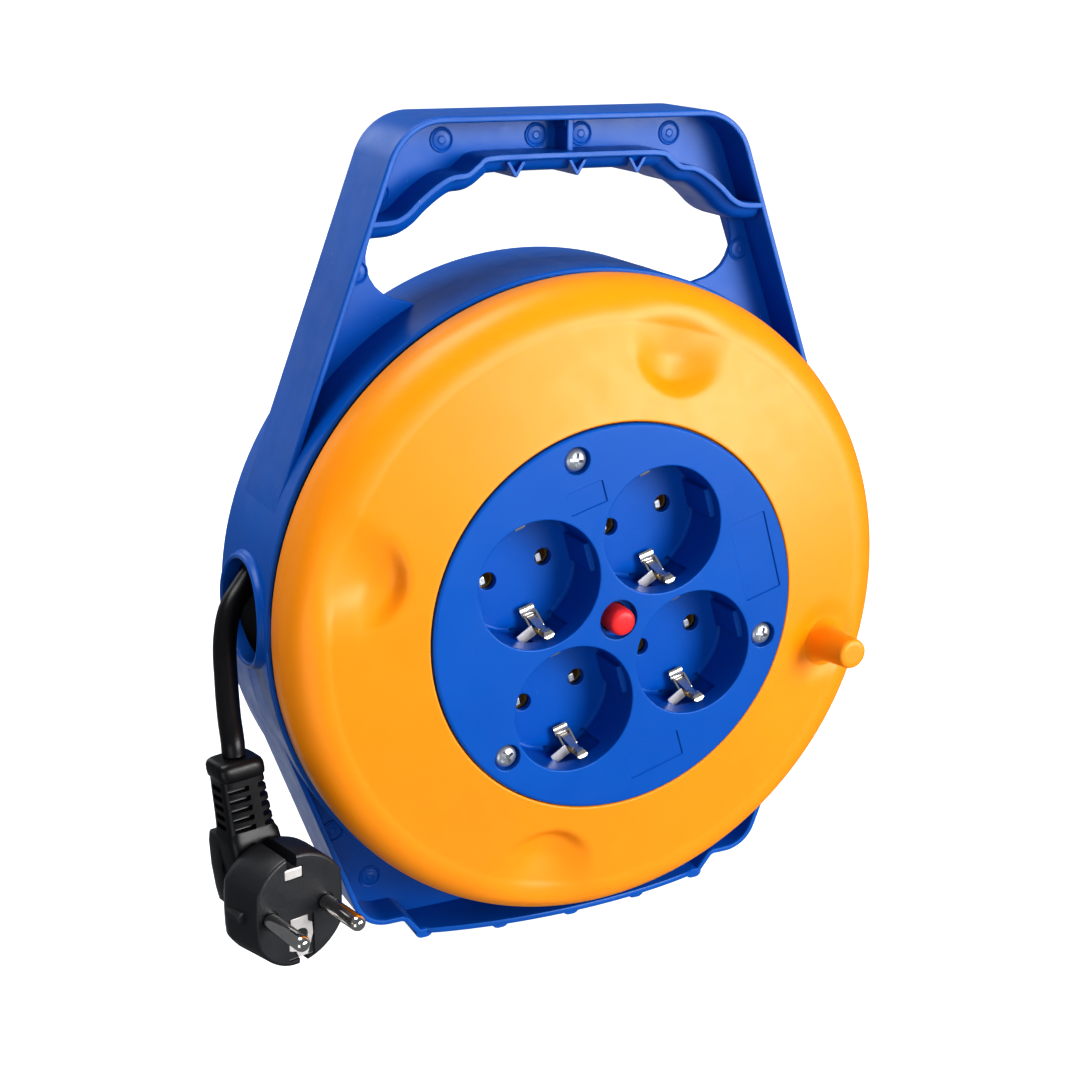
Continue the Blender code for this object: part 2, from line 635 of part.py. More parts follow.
def make_sockets(plate):
    """Plate, screws, clips, contacts and their carrier."""
    make_socket_plate(plate)
    for i in range(4):
        make_earth_clip(i, plate)
    pins = (-SOCKET_AT - PIN_HALF, SOCKET_AT - PIN_HALF)
    make_busbar("busbar_live", pins, 1, plate)
    make_busbar("busbar_neutral", (-pins[1], -pins[0]), -1, plate)
    carrier = prism("contact_carrier", circle(0.0, 0.0, 0.0470, 40), BAR_BACK + GAP, CARRIER_BACK, plate,
                    "bush_white")
    windows = [box("carrier_window", (-0.0082, 0.0300, -0.0150), (0.0082, 0.0400, 0.0150), plate)]
    for i, (x, z) in enumerate((LIVE_TAP, NEUTRAL_TAP, EARTH_TAP)):
        windows.append(prism("tap_hole_%d" % (i + 1), circle(x, z, 0.0019, 10), 0.0300, 0.0400, plate))
    combine(carrier, "DIFFERENCE", windows)
    bar = WELL_DEPTH + WELL_FLOOR + 2 * GAP + CLIP_THICK
    earth = box("earth_bar", (-0.0236, bar, 0.0146), (0.0236, bar + 0.0008, 0.0168), plate, "brass")
    legs = []
    for side in (-1, 1):
        x = side * SOCKET_AT
        legs.append(box("earth_leg_%d" % side, (x - 0.0018, bar, -0.0240), (x + 0.0018, bar + 0.0008, 0.0240), plate))
    combine(earth, "UNION", legs)
    for i, angle in enumerate(screw_angles()):
        centre = (BOSS_AT * cos(angle), BOSS_AT * sin(angle))
        make_screw("plate_screw_%d" % (i + 1), centre, 0.0008, 0.0036, 0.0014, 0.0200, plate)


def make_screw(name, centre, head_front, head_r, shank_r, shank_end, parent):
    """A pan-head screw with a cross recess, pointing into the reel."""
    head_back = head_front + 0.0018
    profile = [(0.0, head_front), (head_r * 0.6, head_front + 0.0001), (head_r, head_front + 0.0009),
               (head_r, head_back), (shank_r, head_back), (shank_r, shank_end - 0.0010),
               (0.0, shank_end)]
    screw = turned(name, profile, 14, parent, "steel_zinc", centre)
    cx, cz = centre
    arm = head_r * 0.6
    slot = head_r * 0.12
    cross = [(arm, -slot), (arm, slot), (slot, slot), (slot, arm), (-slot, arm), (-slot, slot),
             (-arm, slot), (-arm, -slot), (-slot, -slot), (-slot, -arm), (slot, -arm), (slot, -slot)]
    outline = [(cx + a * 0.8 - b * 0.6, cz + a * 0.6 + b * 0.8) for a, b in cross]
    recess = prism(name + "_recess", outline, head_front - 0.001, head_front + 0.0010, parent)
    return combine(screw, "DIFFERENCE", [recess])


# --- cut-out ----------------------------------------------------------------------------------------
def make_cutout(plate):
    """Thermal cut-out behind the plate's middle, with its push-to-reset button."""
    body = box("cutout_body", (-0.0074, 0.0200, -0.0140), (0.0074, 0.0440, 0.0140), plate, "core_grey")
    neck = prism("cutout_neck", circle(0.0, 0.0, 0.0060, 20), 0.0045, 0.0210, plate)
    combine(body, "UNION", [neck])
    bore = turned("cutout_bore", [(0.0, 0.0), (0.0047, 0.0), (0.0047, 0.0160), (0.0025, 0.0160),
                                  (0.0025, 0.0340), (0.0, 0.0340)], 20, plate)
    combine(body, "DIFFERENCE", [bore])
    profile = [
        (0.0, -0.0030), (0.0026, -0.0028), (0.0039, -0.0021), (0.0044, -0.0008), (0.0044, 0.0085),
        (0.0017, 0.0085), (0.0017, 0.0270), (0.0, 0.0270),
    ]
    turned("reset_button", profile, 20, plate, "button_red")
    coil = []
    turns = 4
    for i in range(turns * 10 + 1):
        angle = 2 * pi * i / 10
        coil.append((0.0031 * cos(angle), 0.0114 + 0.0040 * i / (turns * 10), 0.0031 * sin(angle)))
    tube("reset_spring", coil, 0.00028, plate, "steel_zinc", 0)


# --- bearing ----------------------------------------------------------------------------------------
def make_bearing(reel, drum):
    bush = [(SPIGOT_R + GAP, 0.0486), (HUB_BORE_R - GAP, 0.0486), (HUB_BORE_R - GAP, 0.0652),
            (SPIGOT_R + GAP, 0.0652)]
    turned("hub_bush", bush, 32, drum, "bush_white")
    washer = [(0.0026, 0.0464), (0.0132, 0.0464), (0.0132, 0.0480), (0.0026, 0.0480)]
    turned("hub_washer", washer, 28, reel, "steel_zinc")
    make_screw("hub_screw", (0.0, 0.0), 0.0443, 0.0045, 0.0021, 0.0610, reel)


# --- cable, clamp and leads ---------------------------------------------------------------------------
def to_plate(point):
    """Drum coordinates to plate coordinates."""
    return Matrix.Rotation(PLATE_TURN, 3, "Y") @ Vector(point)


def inner_route():
    """The cable from the barrel hole through the clamp, in drum coordinates."""
    outside, inside = cable_entry()
    inward = (inside - outside).normalized()
    start = outside + inward * 0.0038
    return [start, inside + inward * 0.0010, inside + inward * 0.0085, Vector((-0.0020, 0.0430, -0.0330))]


def make_cable(reel, drum):
    """Winding, free tail, the short stretch inside the barrel and its clamp."""
    ring = [(WINDING_IN, WINDING_FRONT), (WINDING_OUT, WINDING_FRONT), (WINDING_OUT, WINDING_BACK),
            (WINDING_IN, WINDING_BACK)]
    turned("cable_winding", ring, 48, drum, "cable_black")
    tube("cable_tail", smooth_route(CABLE_ROUTE, 2.5 * CABLE_R), CABLE_R, reel, "cable_black", 3)
    tube("cable_inner_end", smooth_route(inner_route(), 0.0050), CABLE_R, drum, "cable_black", 3)
    seat = box("cord_clamp_base", (-0.0175, 0.0466, -0.0440), (0.0078, 0.0497, -0.0370), drum, "bush_white")
    bridge = [
        (-0.0172, 0.0463), (-0.0172, 0.0449), (-0.0106, 0.0449), (-0.0106, 0.0378), (-0.0092, 0.0364),
        (0.0002, 0.0364), (0.0016, 0.0378), (0.0016, 0.0449), (0.0075, 0.0449), (0.0075, 0.0463),
        (0.0002, 0.0463), (0.0002, 0.0380), (-0.0092, 0.0380), (-0.0092, 0.0463),
    ]
    strap = slab("cord_clamp_strap", bridge, -0.0430, -0.0380, drum, "steel_zinc")
    holes = []
    for i, x in enumerate((-0.0139, 0.0042)):
        holes.append(prism("clamp_hole_%d" % (i + 1), circle(x, -0.0405, 0.0013, 8), 0.0430, 0.0490, drum))
        make_screw("clamp_screw_%d" % (i + 1), (x, -0.0405), 0.0428, 0.0022, 0.0009, 0.0486, drum)
    combine(strap, "DIFFERENCE", holes)
    combine(seat, "DIFFERENCE", holes)


def make_leads(plate):
    """The cores from the cable's end to the cut-out and the contact bars."""
    route = inner_route()
    end = to_plate(route[-1])
    along = (end - to_plate(route[-2])).normalized()
    side = along.cross(Vector((0.0, 1.0, 0.0))).normalized()
    rise = side.cross(along).normalized()
    tip = end + along * 0.0010
    cores = [
        ("lead_live_in", "lead_brown",
         [tip + side * 0.0015, tip + side * 0.0015 + along * 0.0040, (-0.0125, 0.0430, -0.0160),
          (-0.0120, 0.0415, -0.0100), (-0.0105, 0.0410, -0.0080), (-0.0079, 0.0410, -0.0080)]),
        ("lead_live_out", "lead_brown",
         [(-0.0079, 0.0410, 0.0080), (-0.0110, 0.0410, 0.0085), (-0.0140, 0.0410, 0.0150),
          (LIVE_TAP[0], 0.0395, 0.0235), (LIVE_TAP[0], 0.0375, 0.0262),
          (LIVE_TAP[0], 0.0341, LIVE_TAP[1])]),
        ("lead_neutral", "lead_blue",
         [tip - side * 0.0015, tip - side * 0.0015 + along * 0.0030, (-0.0105, 0.0415, -0.0262),
          (NEUTRAL_TAP[0], 0.0380, NEUTRAL_TAP[1]), (NEUTRAL_TAP[0], 0.0341, NEUTRAL_TAP[1])]),
        ("lead_earth", "lead_green",
         [tip + rise * 0.0022, tip + rise * 0.0028 + along * 0.0035, (-0.0165, 0.0455, -0.0120),
          (-0.0200, 0.0450, 0.0020), (EARTH_TAP[0], 0.0420, 0.0120),
          (EARTH_TAP[0], 0.0370, EARTH_TAP[1]), (EARTH_TAP[0], 0.0219, EARTH_TAP[1])]),
    ]
    for name, slot, points in cores:
        tube(name, smooth_route(points, 0.0030), 0.0012, plate, slot, 1)


# --- plug -------------------------------------------------------------------------------------------
def plug_outline(scale):
    """Round contact face with flattened sides and a small side rib at pin height."""
    flat = 0.0157 * scale
    radius = 0.0178 * scale
    start = 0.49
    rib = 0.0183 * scale
    half = arc(0.0, 0.0, radius, pi / 2, start, 6)
    half += [(flat, 0.0035), (rib, 0.0012), (rib, -0.0018), (flat, -0.0030)]
    half += arc(0.0, 0.0, radius, -start, -pi / 2, 6)
    return mirrored(half)


def make_plug(reel):
    """Angled two-pole plug with both earth systems, hanging from the cable."""
    plug = empty("plug_axis", PLUG_AT, reel, (0.0, 0.0, PLUG_TURN))
    body = prism("plug_body", plug_outline(1.0), 0.0, 0.0155, plug, "cable_black")
    lean = 0.14
    hump = prism(
        "plug_hump",
        [(-0.0080, -0.0120), (0.0060, -0.0140), (0.0085, 0.0080), (0.0062, 0.0225),
         (-0.0112, 0.0225), (-0.0095, 0.0060)],
        0.0140, 0.0285, plug,
    )
    column = []
    for z, half_x, half_y in ((0.0200, 0.0090, 0.0078), (0.0365, 0.0078, 0.0070)):
        column.append((z, -lean * z, half_x, half_y))
    relief = loft_column("plug_relief", column, 0.0230, plug)
    collar = loft_column("plug_collar", [(0.0362, -lean * 0.0362, 0.0084, 0.0076),
                                         (0.0395, -lean * 0.0395, 0.0084, 0.0076),
                                         (0.0410, -lean * 0.0410, 0.0070, 0.0064)], 0.0230, plug)
    paddle = box("plug_paddle", (-0.0090, 0.0280, -0.0080), (-0.0060, 0.0340, 0.0160), plug)
    combine(body, "UNION", [hump, relief, collar, paddle])
    cuts = []
    for side in (-1, 1):
        x = side * PIN_HALF
        cuts.append(prism("plug_pin_seat_%d" % side, circle(x, 0.0, PLUG_PIN_R + GAP, 12), -0.0010, 0.0060, plug))
    cuts.append(box("plug_top_groove", (-0.0028, -0.0010, 0.0128), (0.0022, 0.0150, 0.0200), plug))
    cuts.append(box("plug_bottom_groove", (0.0004, -0.0010, -0.0200), (0.0034, 0.0150, -0.0164), plug))
    cuts.append(box("plug_earth_seat", (-0.0030, -0.0010, -0.0155), (0.0055, 0.0012, -0.0022), plug))
    cuts.append(box("plug_top_seat", (-0.0042, -0.0010, 0.0100), (0.0022, 0.0012, 0.0140), plug))
    combine(body, "DIFFERENCE", cuts)
    for side, name in ((-1, "plug_pin_left"), (1, "plug_pin_right")):
        profile = [(0.0, -PLUG_PIN_LENGTH), (0.0014, -PLUG_PIN_LENGTH + 0.0003),
                   (PLUG_PIN_R, -PLUG_PIN_LENGTH + 0.0016), (PLUG_PIN_R, 0.0057), (0.0, 0.0057)]
        turned(name, profile, 16, plug, "nickel", (side * PIN_HALF, 0.0))
    lower = box("plug_earth_plate", (-0.0027, 0.0, -0.0152), (0.0052, 0.0009, -0.0025), plug, "nickel")
    combine(lower, "DIFFERENCE",
            [prism("plug_earth_hole", circle(0.0012, -0.0085, 0.0024, 12), -0.001, 0.002, plug)])
    box("plug_earth_tongue", (-0.0039, 0.0, 0.0103), (0.0019, 0.0009, 0.0137), plug, "nickel")


def loft_column(name, rings, depth, parent):
    """An upright round-cornered column through (z, x, half width, half depth) rings."""
    bm = bmesh.new()
    loops = []
    for z, x, half_x, half_y in rings:
        verts = []
        for i in range(12):
            angle = 2 * pi * (i + 0.5) / 12
            px = abs(cos(angle)) ** 0.6 * (1 if cos(angle) > 0 else -1)
            py = abs(sin(angle)) ** 0.6 * (1 if sin(angle) > 0 else -1)
            verts.append(bm.verts.new((x + half_x * px, depth + half_y * py, z)))
        loops.append(verts)
    for low, high in zip(loops, loops[1:]):
        for i in range(12):
            j = (i + 1) % 12
            bm.faces.new((low[i], low[j], high[j], high[i]))
    bm.faces.new(list(reversed(loops[0])))
    bm.faces.new(loops[-1])
    return finish_mesh(name, bm, parent, None)


# --- the reel ---------------------------------------------------------------------------------------
def build():
    clear_scene()
    reel = empty("reel_axis", REEL_ORIGIN)
    drum = empty("drum_axis", (0.0, 0.0, 0.0), reel, (0.0, DRUM_TURN, 0.0))
    plate = empty("plate_axis", (0.0, 0.0, 0.0), drum, (0.0, -PLATE_TURN, 0.0))
    make_casing(reel)
    make_bearing(reel, drum)
    make_front_disc(drum)
    make_drum_core(drum)
    make_sockets(plate)
    make_cutout(plate)
    make_cable(reel, drum)
    make_leads(plate)
    make_plug(reel)


build()
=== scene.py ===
"""Looks of the closed cord reel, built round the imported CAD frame.

Sizes are in millimetres in reel coordinates: x to the right, y behind the socket plate's face,
z above the drum axis. REEL, DRUM, PLATE and PLUG carry them to the frame's metres.
"""
from math import acos, atan2, cos, pi, radians, sin, sqrt

import bmesh
import bpy
from mathutils import Matrix, Vector
from mathutils.geometry import tessellate_polygon


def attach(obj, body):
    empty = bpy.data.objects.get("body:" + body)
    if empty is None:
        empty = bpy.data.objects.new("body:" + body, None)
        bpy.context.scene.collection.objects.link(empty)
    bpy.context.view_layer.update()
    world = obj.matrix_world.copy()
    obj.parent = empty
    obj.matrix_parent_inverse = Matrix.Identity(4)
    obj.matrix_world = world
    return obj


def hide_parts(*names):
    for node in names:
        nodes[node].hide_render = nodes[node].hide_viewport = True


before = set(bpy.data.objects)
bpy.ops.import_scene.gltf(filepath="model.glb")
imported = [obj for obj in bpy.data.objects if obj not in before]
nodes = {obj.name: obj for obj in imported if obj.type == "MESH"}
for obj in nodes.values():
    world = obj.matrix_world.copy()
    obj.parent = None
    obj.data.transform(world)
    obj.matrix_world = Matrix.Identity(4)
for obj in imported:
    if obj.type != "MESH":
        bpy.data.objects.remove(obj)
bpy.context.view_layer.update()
scene = bpy.context.scene

# --- places ---
DRUM_TURN = radians(14.5)
PLATE_TURN = radians(-16.5)
REEL = Matrix.Translation((0.0, -0.02975, 0.112)) @ Matrix.Scale(0.001, 4)
DRUM = REEL @ Matrix.Rotation(DRUM_TURN, 4, "Y")
PLATE = REEL @ Matrix.Rotation(PLATE_TURN, 4, "Y")
PLUG = REEL @ Matrix.Translation((-101.8, 4.3, -76.6)) @ Matrix.Rotation(radians(13.95), 4, "Z")

# --- sizes, as in the CAD ---
RING_R = 102.4
RING_MIDDLE = 101.5  # of the ring's wall
WEB_FRONT = 46.1
WEB_BACK = 47.9
MIDDLE = 47.1  # of the frame's depth
LEG = radians(20.25)  # the legs' lean
HANDLE_TOP = 146.3
FLANGE_BOTTOM = -104.5
FOOT_BOTTOM = -110.5
PLATE_R = 60.4
DISC_R = 101.2
WELL_R = 19.85
WELL_DEPTH = 17.3
SOCKET_AT = 21.27
PIN_AT = 9.5
CABLE_D = 7.0
PLUG_SMOOTH = 34.0  # degrees, the sharpest edge on the plug that is shaded smooth


# --- node materials ---
class Nodes:
    """A material being wired up."""

    def __init__(self, name):
        self.material = bpy.data.materials.new(name)
        self.material.use_nodes = True
        self.tree = self.material.node_tree
        self.shader = self.tree.nodes["Principled BSDF"]
        self.where = self.add("ShaderNodeTexCoord").outputs["Object"]

    def add(self, kind, **settings):
        node = self.tree.nodes.new(kind)
        for key, value in settings.items():
            if hasattr(node, key):
                setattr(node, key, value)
            else:
                node.inputs[key.replace("_", " ")].default_value = value
        return node

    def link(self, source, target):
        self.tree.links.new(source, target)

    def noise(self, size_mm, detail=3.0, rough=0.5, stretch=(1.0, 1.0, 1.0)):
        """Noise whose features are about size_mm across."""
        place = self.add("ShaderNodeMapping")
        place.inputs["Scale"].default_value = [s * 1000.0 / size_mm for s in stretch]
        self.link(self.where, place.inputs["Vector"])
        made = self.add("ShaderNodeTexNoise", Scale=1.0, Detail=detail, Roughness=rough)
        self.link(place.outputs["Vector"], made.inputs["Vector"])
        return made.outputs["Fac"]

    def scale(self, value, *ends):
        """Carry the range between the first two ends to the one between the last two."""
        made = self.add("ShaderNodeMapRange")
        for name, number in zip(("From Min", "From Max", "To Min", "To Max"), ends):
            made.inputs[name].default_value = number
        self.link(value, made.inputs["Value"])
        return made.outputs["Result"]

    def mix(self, factor, a, b):
        made = self.add("ShaderNodeMix")
        made.data_type = "RGBA"
        self.link(factor, made.inputs[0])
        for socket, value in ((made.inputs[6], a), (made.inputs[7], b)):
            if isinstance(value, tuple):
                socket.default_value = (*value, 1.0)
            else:
                self.link(value, socket)
        return made.outputs[2]

    def bump(self, height, distance_mm, strength=1.0, after=None):
        made = self.add("ShaderNodeBump")
        made.inputs["Strength"].default_value = strength
        made.inputs["Distance"].default_value = distance_mm * 0.001
        self.link(height, made.inputs["Height"])
        if after is not None:
            self.link(after, made.inputs["Normal"])
        return made.outputs["Normal"]

    def set(self, name, value):
        self.shader.inputs[name].default_value = value


def moulded(name, colour, shade, rough, grain=0.02, glow=0.0, glow_radius=(1.0, 0.5, 0.2), specks=0.0,
            wave=0.0, sheen=0.32):
    """Injection-moulded plastic: clouded colour, uneven gloss, fine skin, small specks and slow waves."""
    m = Nodes(name)
    clouds = m.scale(m.noise(38.0, 3.0, 0.55), 0.32, 0.68, 0.0, 1.0)
    base = m.mix(clouds, shade, colour)
    if specks > 0.0:
        dust = m.scale(m.noise(1.1, 2.0, 0.7), 0.735, 0.76, 0.0, specks)
        base = m.mix(dust, base, (0.75, 0.80, 0.88))
    m.link(base, m.shader.inputs["Base Color"])
    gloss = m.noise(9.0, 4.0, 0.6)
    m.link(m.scale(gloss, 0.3, 0.7, rough[0], rough[1]), m.shader.inputs["Roughness"])
    skin = m.bump(m.noise(0.55, 2.0, 0.6), grain)
    if wave > 0.0:
        skin = m.bump(m.noise(26.0, 1.0, 0.4), wave, 1.0, skin)
    m.link(skin, m.shader.inputs["Normal"])
    m.set("IOR", 1.49)
    m.set("Specular IOR Level", sheen)
    if glow > 0.0:
        m.set("Subsurface Weight", glow)
        m.set("Subsurface Radius", glow_radius)
        m.set("Subsurface Scale", 0.003)
    return m.material


def metal(name, colour, rough, brushed=(1.0, 1.0, 1.0), grain=0.004, metallic=0.82):
    """Plated or plain metal with faint drawing lines and small pits."""
    m = Nodes(name)
    tint = m.scale(m.noise(2.2, 3.0, 0.6), 0.3, 0.7, 0.0, 1.0)
    darker = tuple(c * 0.86 for c in colour)
    m.link(m.mix(tint, darker, colour), m.shader.inputs["Base Color"])
    m.set("Metallic", metallic)
    lines = m.noise(0.8, 3.0, 0.6, brushed)
    m.link(m.scale(lines, 0.3, 0.7, rough[0], rough[1]), m.shader.inputs["Roughness"])
    m.link(m.bump(lines, grain), m.shader.inputs["Normal"])
    return m.material


# Each finish keeps its roughness on one side of 0.27, because a range across it renders blotched.
BLUE = moulded("casing blue", (0.0, 0.092, 0.43), (0.0, 0.076, 0.37), (0.29, 0.41), 0.012,
               specks=0.25, wave=0.1)
PLATE_BLUE = moulded("plate blue", (0.0, 0.089, 0.43), (0.0, 0.08, 0.395), (0.285, 0.36), 0.015,
                     specks=0.1, wave=0.04, sheen=0.22)
ORANGE = moulded("disc orange", (0.95, 0.302, 0.001), (0.94, 0.288, 0.001), (0.36, 0.44), 0.01,
                 glow=0.12, glow_radius=(1.0, 0.35, 0.02), wave=0.06, sheen=0.5)
RED = moulded("button red", (0.74, 0.032, 0.036), (0.68, 0.026, 0.03), (0.285, 0.34), 0.004,
              glow=0.15, glow_radius=(1.0, 0.1, 0.05))
BLACK = moulded("cable black", (0.006, 0.006, 0.007), (0.004, 0.004, 0.005), (0.29, 0.4), 0.012, sheen=0.4)
PLUG_BLACK = moulded("plug black", (0.015, 0.016, 0.019), (0.01, 0.01, 0.013), (0.34, 0.48), 0.06,
                     sheen=0.6)
GREY = moulded("core grey", (0.055, 0.058, 0.062), (0.042, 0.045, 0.048), (0.4, 0.55))
WHITE = moulded("bush white", (0.8, 0.79, 0.76), (0.72, 0.71, 0.68), (0.4, 0.52), 0.01)
BROWN = moulded("lead brown", (0.14, 0.05, 0.02), (0.11, 0.04, 0.016), (0.35, 0.45), 0.01)
LEAD_BLUE = moulded("lead blue", (0.02, 0.1, 0.45), (0.016, 0.08, 0.38), (0.35, 0.45), 0.01)
GREEN = moulded("lead green", (0.2, 0.42, 0.04), (0.16, 0.36, 0.03), (0.35, 0.45), 0.01)
DRAWN = (1.0, 0.12, 1.0)
ZINC = metal("zinc steel", (0.62, 0.65, 0.7), (0.285, 0.38))
NICKEL = metal("nickel", (0.74, 0.71, 0.68), (0.12, 0.22), DRAWN, grain=0.002)
TINNED = metal("tinned steel", (0.8, 0.77, 0.75), (0.285, 0.34), grain=0.003, metallic=0.45)
PIN = metal("pin nickel", (0.82, 0.8, 0.77), (0.08, 0.16), DRAWN, grain=0.002, metallic=1.0)
BRASS = metal("brass", (0.76, 0.52, 0.2), (0.285, 0.36))


# --- mesh tools ---
def add_object(name, data):
    made = bpy.data.objects.new(name, data)
    scene.collection.objects.link(made)
    return made


def make(name, parts, place, body, finish, smooth=35.0, stands_for=()):
    """One piece from (points, faces) parts, in place, riding on a body."""
    points = []
    faces = []
    for part_points, part_faces in parts:
        start = len(points)
        points += [place @ Vector(p) for p in part_points]
        faces += [tuple(i + start for i in face) for face in part_faces]
    mesh = bpy.data.meshes.new(name)
    mesh.from_pydata(points, [], faces)
    mesh.validate()
    mesh.shade_smooth()
    mesh.materials.append(finish)
    weld_and_turn(mesh)
    mesh.set_sharp_from_angle(angle=radians(smooth))
    flatten(mesh, place)
    made = add_object(name, mesh)
    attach(made, body)
    if stands_for:
        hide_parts(*stands_for)
    return made


def flatten(mesh, place):
    """Faces square to the piece's depth axis are shaded flat."""
    axis = (place.to_3x3() @ Vector((0.0, 1.0, 0.0))).normalized()
    for face in mesh.polygons:
        if abs(face.normal.dot(axis)) > 0.99999:
            face.use_smooth = False


def weld_and_turn(mesh):
    """Weld shared borders and turn every face outwards."""
    bm = bmesh.new()
    bm.from_mesh(mesh)
    bmesh.ops.remove_doubles(bm, verts=bm.verts, dist=2e-6)
    bmesh.ops.recalc_face_normals(bm, faces=bm.faces)
    bm.to_mesh(mesh)
    bm.free()


def lathe(profile, steps=96, centre=(0.0, 0.0)):
    """Turn (radius, depth) points about a line along y. Points on the line close it."""
    cx, cz = centre
    points = []
    rows = []
    for r, y in profile:
        if r < 1e-6:
            rows.append([len(points)] * steps)
            points.append((cx, y, cz))
            continue
        rows.append(list(range(len(points), len(points) + steps)))
        points += at_depth(circle(cx, cz, r, steps), y)
    return points, bridge_rows(rows)


def bridge_rows(rows):
    """Quads between neighbouring closed rows of point numbers; triangles at a pole."""
    faces = []
    for low, high in zip(rows, rows[1:]):
        count = len(low)
        for i in range(count):
            j = (i + 1) % count
            face = []
            for k in (low[i], low[j], high[j], high[i]):
                if k not in face:
                    face.append(k)
            if len(face) > 2:
                faces.append(tuple(face))
    return faces


def loft(rings, closed_path=False, caps=False):
    """Skin equal rings of points."""
    count = len(rings[0])
    points = [p for ring in rings for p in ring]
    rows = [list(range(i * count, (i + 1) * count)) for i in range(len(rings))]
    if closed_path:
        rows.append(rows[0])
    faces = bridge_rows(rows)
    if caps:
        faces += [tuple(rows[0]), tuple(reversed(rows[-1]))]
    return points, faces


def panel(loops, y):
    """A flat face at one depth: an outline and holes, each a list of (x, z)."""
    lifted = [[Vector((x, z, 0.0)) for x, z in loop] for loop in loops]
    points = [p for loop in loops for p in at_depth(loop, y)]
    return points, [tuple(t) for t in tessellate_polygon(lifted)]


def at_depth(loop, y):
    """An (x, z) outline as points at one depth."""
    return [(x, y, z) for x, z in loop]


def smoothstep(t):
    """0 up to 0, 1 from 1 on, and a soft rise between."""
    t = max(0.0, min(1.0, t))
    return t * t * (3.0 - 2.0 * t)


def arc(cx, cz, radius, start, end, steps):
    return [
        (cx + radius * cos(start + (end - start) * i / steps),
         cz + radius * sin(start + (end - start) * i / steps))
        for i in range(steps + 1)
    ]


def straight(start, end, steps):
    """Even points from the start to the end, both included."""
    return [(start[0] + (end[0] - start[0]) * i / steps, start[1] + (end[1] - start[1]) * i / steps)
            for i in range(steps + 1)]


def circle(cx, cz, radius, steps):
    return arc(cx, cz, radius, 0.0, 2.0 * pi, steps)[:-1]


def rounded(x0, x1, z0, z1, radius, steps=4):
    """A rectangle with round corners, anticlockwise."""
    out = []
    for cx, cz, a in ((x1 - radius, z1 - radius, 0.0), (x0 + radius, z1 - radius, pi / 2),
                      (x0 + radius, z0 + radius, pi), (x1 - radius, z0 + radius, 1.5 * pi)):
        out += arc(cx, cz, radius, a, a + pi / 2, steps)
    return out


def curve_through(points, steps=8):
    """Catmull-Rom points through a route."""
    knots = [Vector(p) for p in points]
    knots = [2 * knots[0] - knots[1]] + knots + [2 * knots[-1] - knots[-2]]
    fine = []
    for a, b, c, d in zip(knots, knots[1:], knots[2:], knots[3:]):
        for i in range(steps):
            t = i / steps
            fine.append(0.5 * (2 * b + (c - a) * t + (2 * a - 5 * b + 4 * c - d) * t * t
                               + (3 * b - a - 3 * c + d) * t ** 3))
    fine.append(knots[-2])
    return fine


def directions(line):
    """The unit direction along an open line at each of its points."""
    line = [Vector(p) for p in line]
    last = len(line) - 1
    return [(line[min(last, i + 1)] - line[max(0, i - 1)]).normalized() for i in range(last + 1)]


def block(low, high, radius=0.4, steps=2):
    """A box with rounded upright edges and softened front and back rims."""
    x0, y0, z0 = low
    x1, y1, z1 = high
    rings = []
    for inset, y in ((radius, y0), (radius * 0.3, y0 + radius * 0.3), (0.0, y0 + radius),
                     (0.0, y1 - radius), (radius * 0.3, y1 - radius * 0.3), (radius, y1)):
        rings.append(at_depth(rounded(x0 + inset, x1 - inset, z0 + inset, z1 - inset, radius, steps), y))
    return loft(rings, caps=True)


def moved(part, place, angle=0.0, axis="Y"):
    """A part turned by degrees about an axis of its own and set down at a place."""
    carry = Matrix.Translation(place) @ Matrix.Rotation(radians(angle), 4, axis)
    points, faces = part
    return [tuple(carry @ Vector(p)) for p in points], faces


# --- camera, light, floor ---
def make_camera():
    azimuth, elevation, roll = radians(26.169), radians(17.295), radians(-0.820)
    ahead = Vector((sin(azimuth) * cos(elevation), cos(azimuth) * cos(elevation), -sin(elevation)))
    right = Vector((cos(azimuth), -sin(azimuth), 0.0))
    down = ahead.cross(right)
    side = right * cos(roll) + down * sin(roll)
    drop = -right * sin(roll) + down * cos(roll)
    data = bpy.data.cameras.new("camera")
    data.sensor_width = 36.0
    data.lens = 62.94
    data.clip_start = 0.02
    data.clip_end = 20.0
    camera = add_object("camera", data)
    pose = Matrix((side, -drop, -ahead)).transposed().to_4x4()
    pose.translation = Vector((-0.257203, -0.498596, 0.303118))
    camera.matrix_world = pose
    scene.camera = camera


def area_light(name, place, aim, size, power, lights=True, shines=True):
    """A soft lamp. With shines off it has no reflection, and with lights off it is only a reflection."""
    data = bpy.data.lights.new(name, "AREA")
    data.shape = "RECTANGLE"
    data.size, data.size_y = size
    data.energy = power
    light = add_object(name, data)
    light.visible_camera = False
    light.visible_diffuse = lights
    light.visible_glossy = shines
    light.location = place
    light.rotation_mode = "QUATERNION"
    light.rotation_quaternion = (Vector(aim) - Vector(place)).to_track_quat("-Z", "Y")


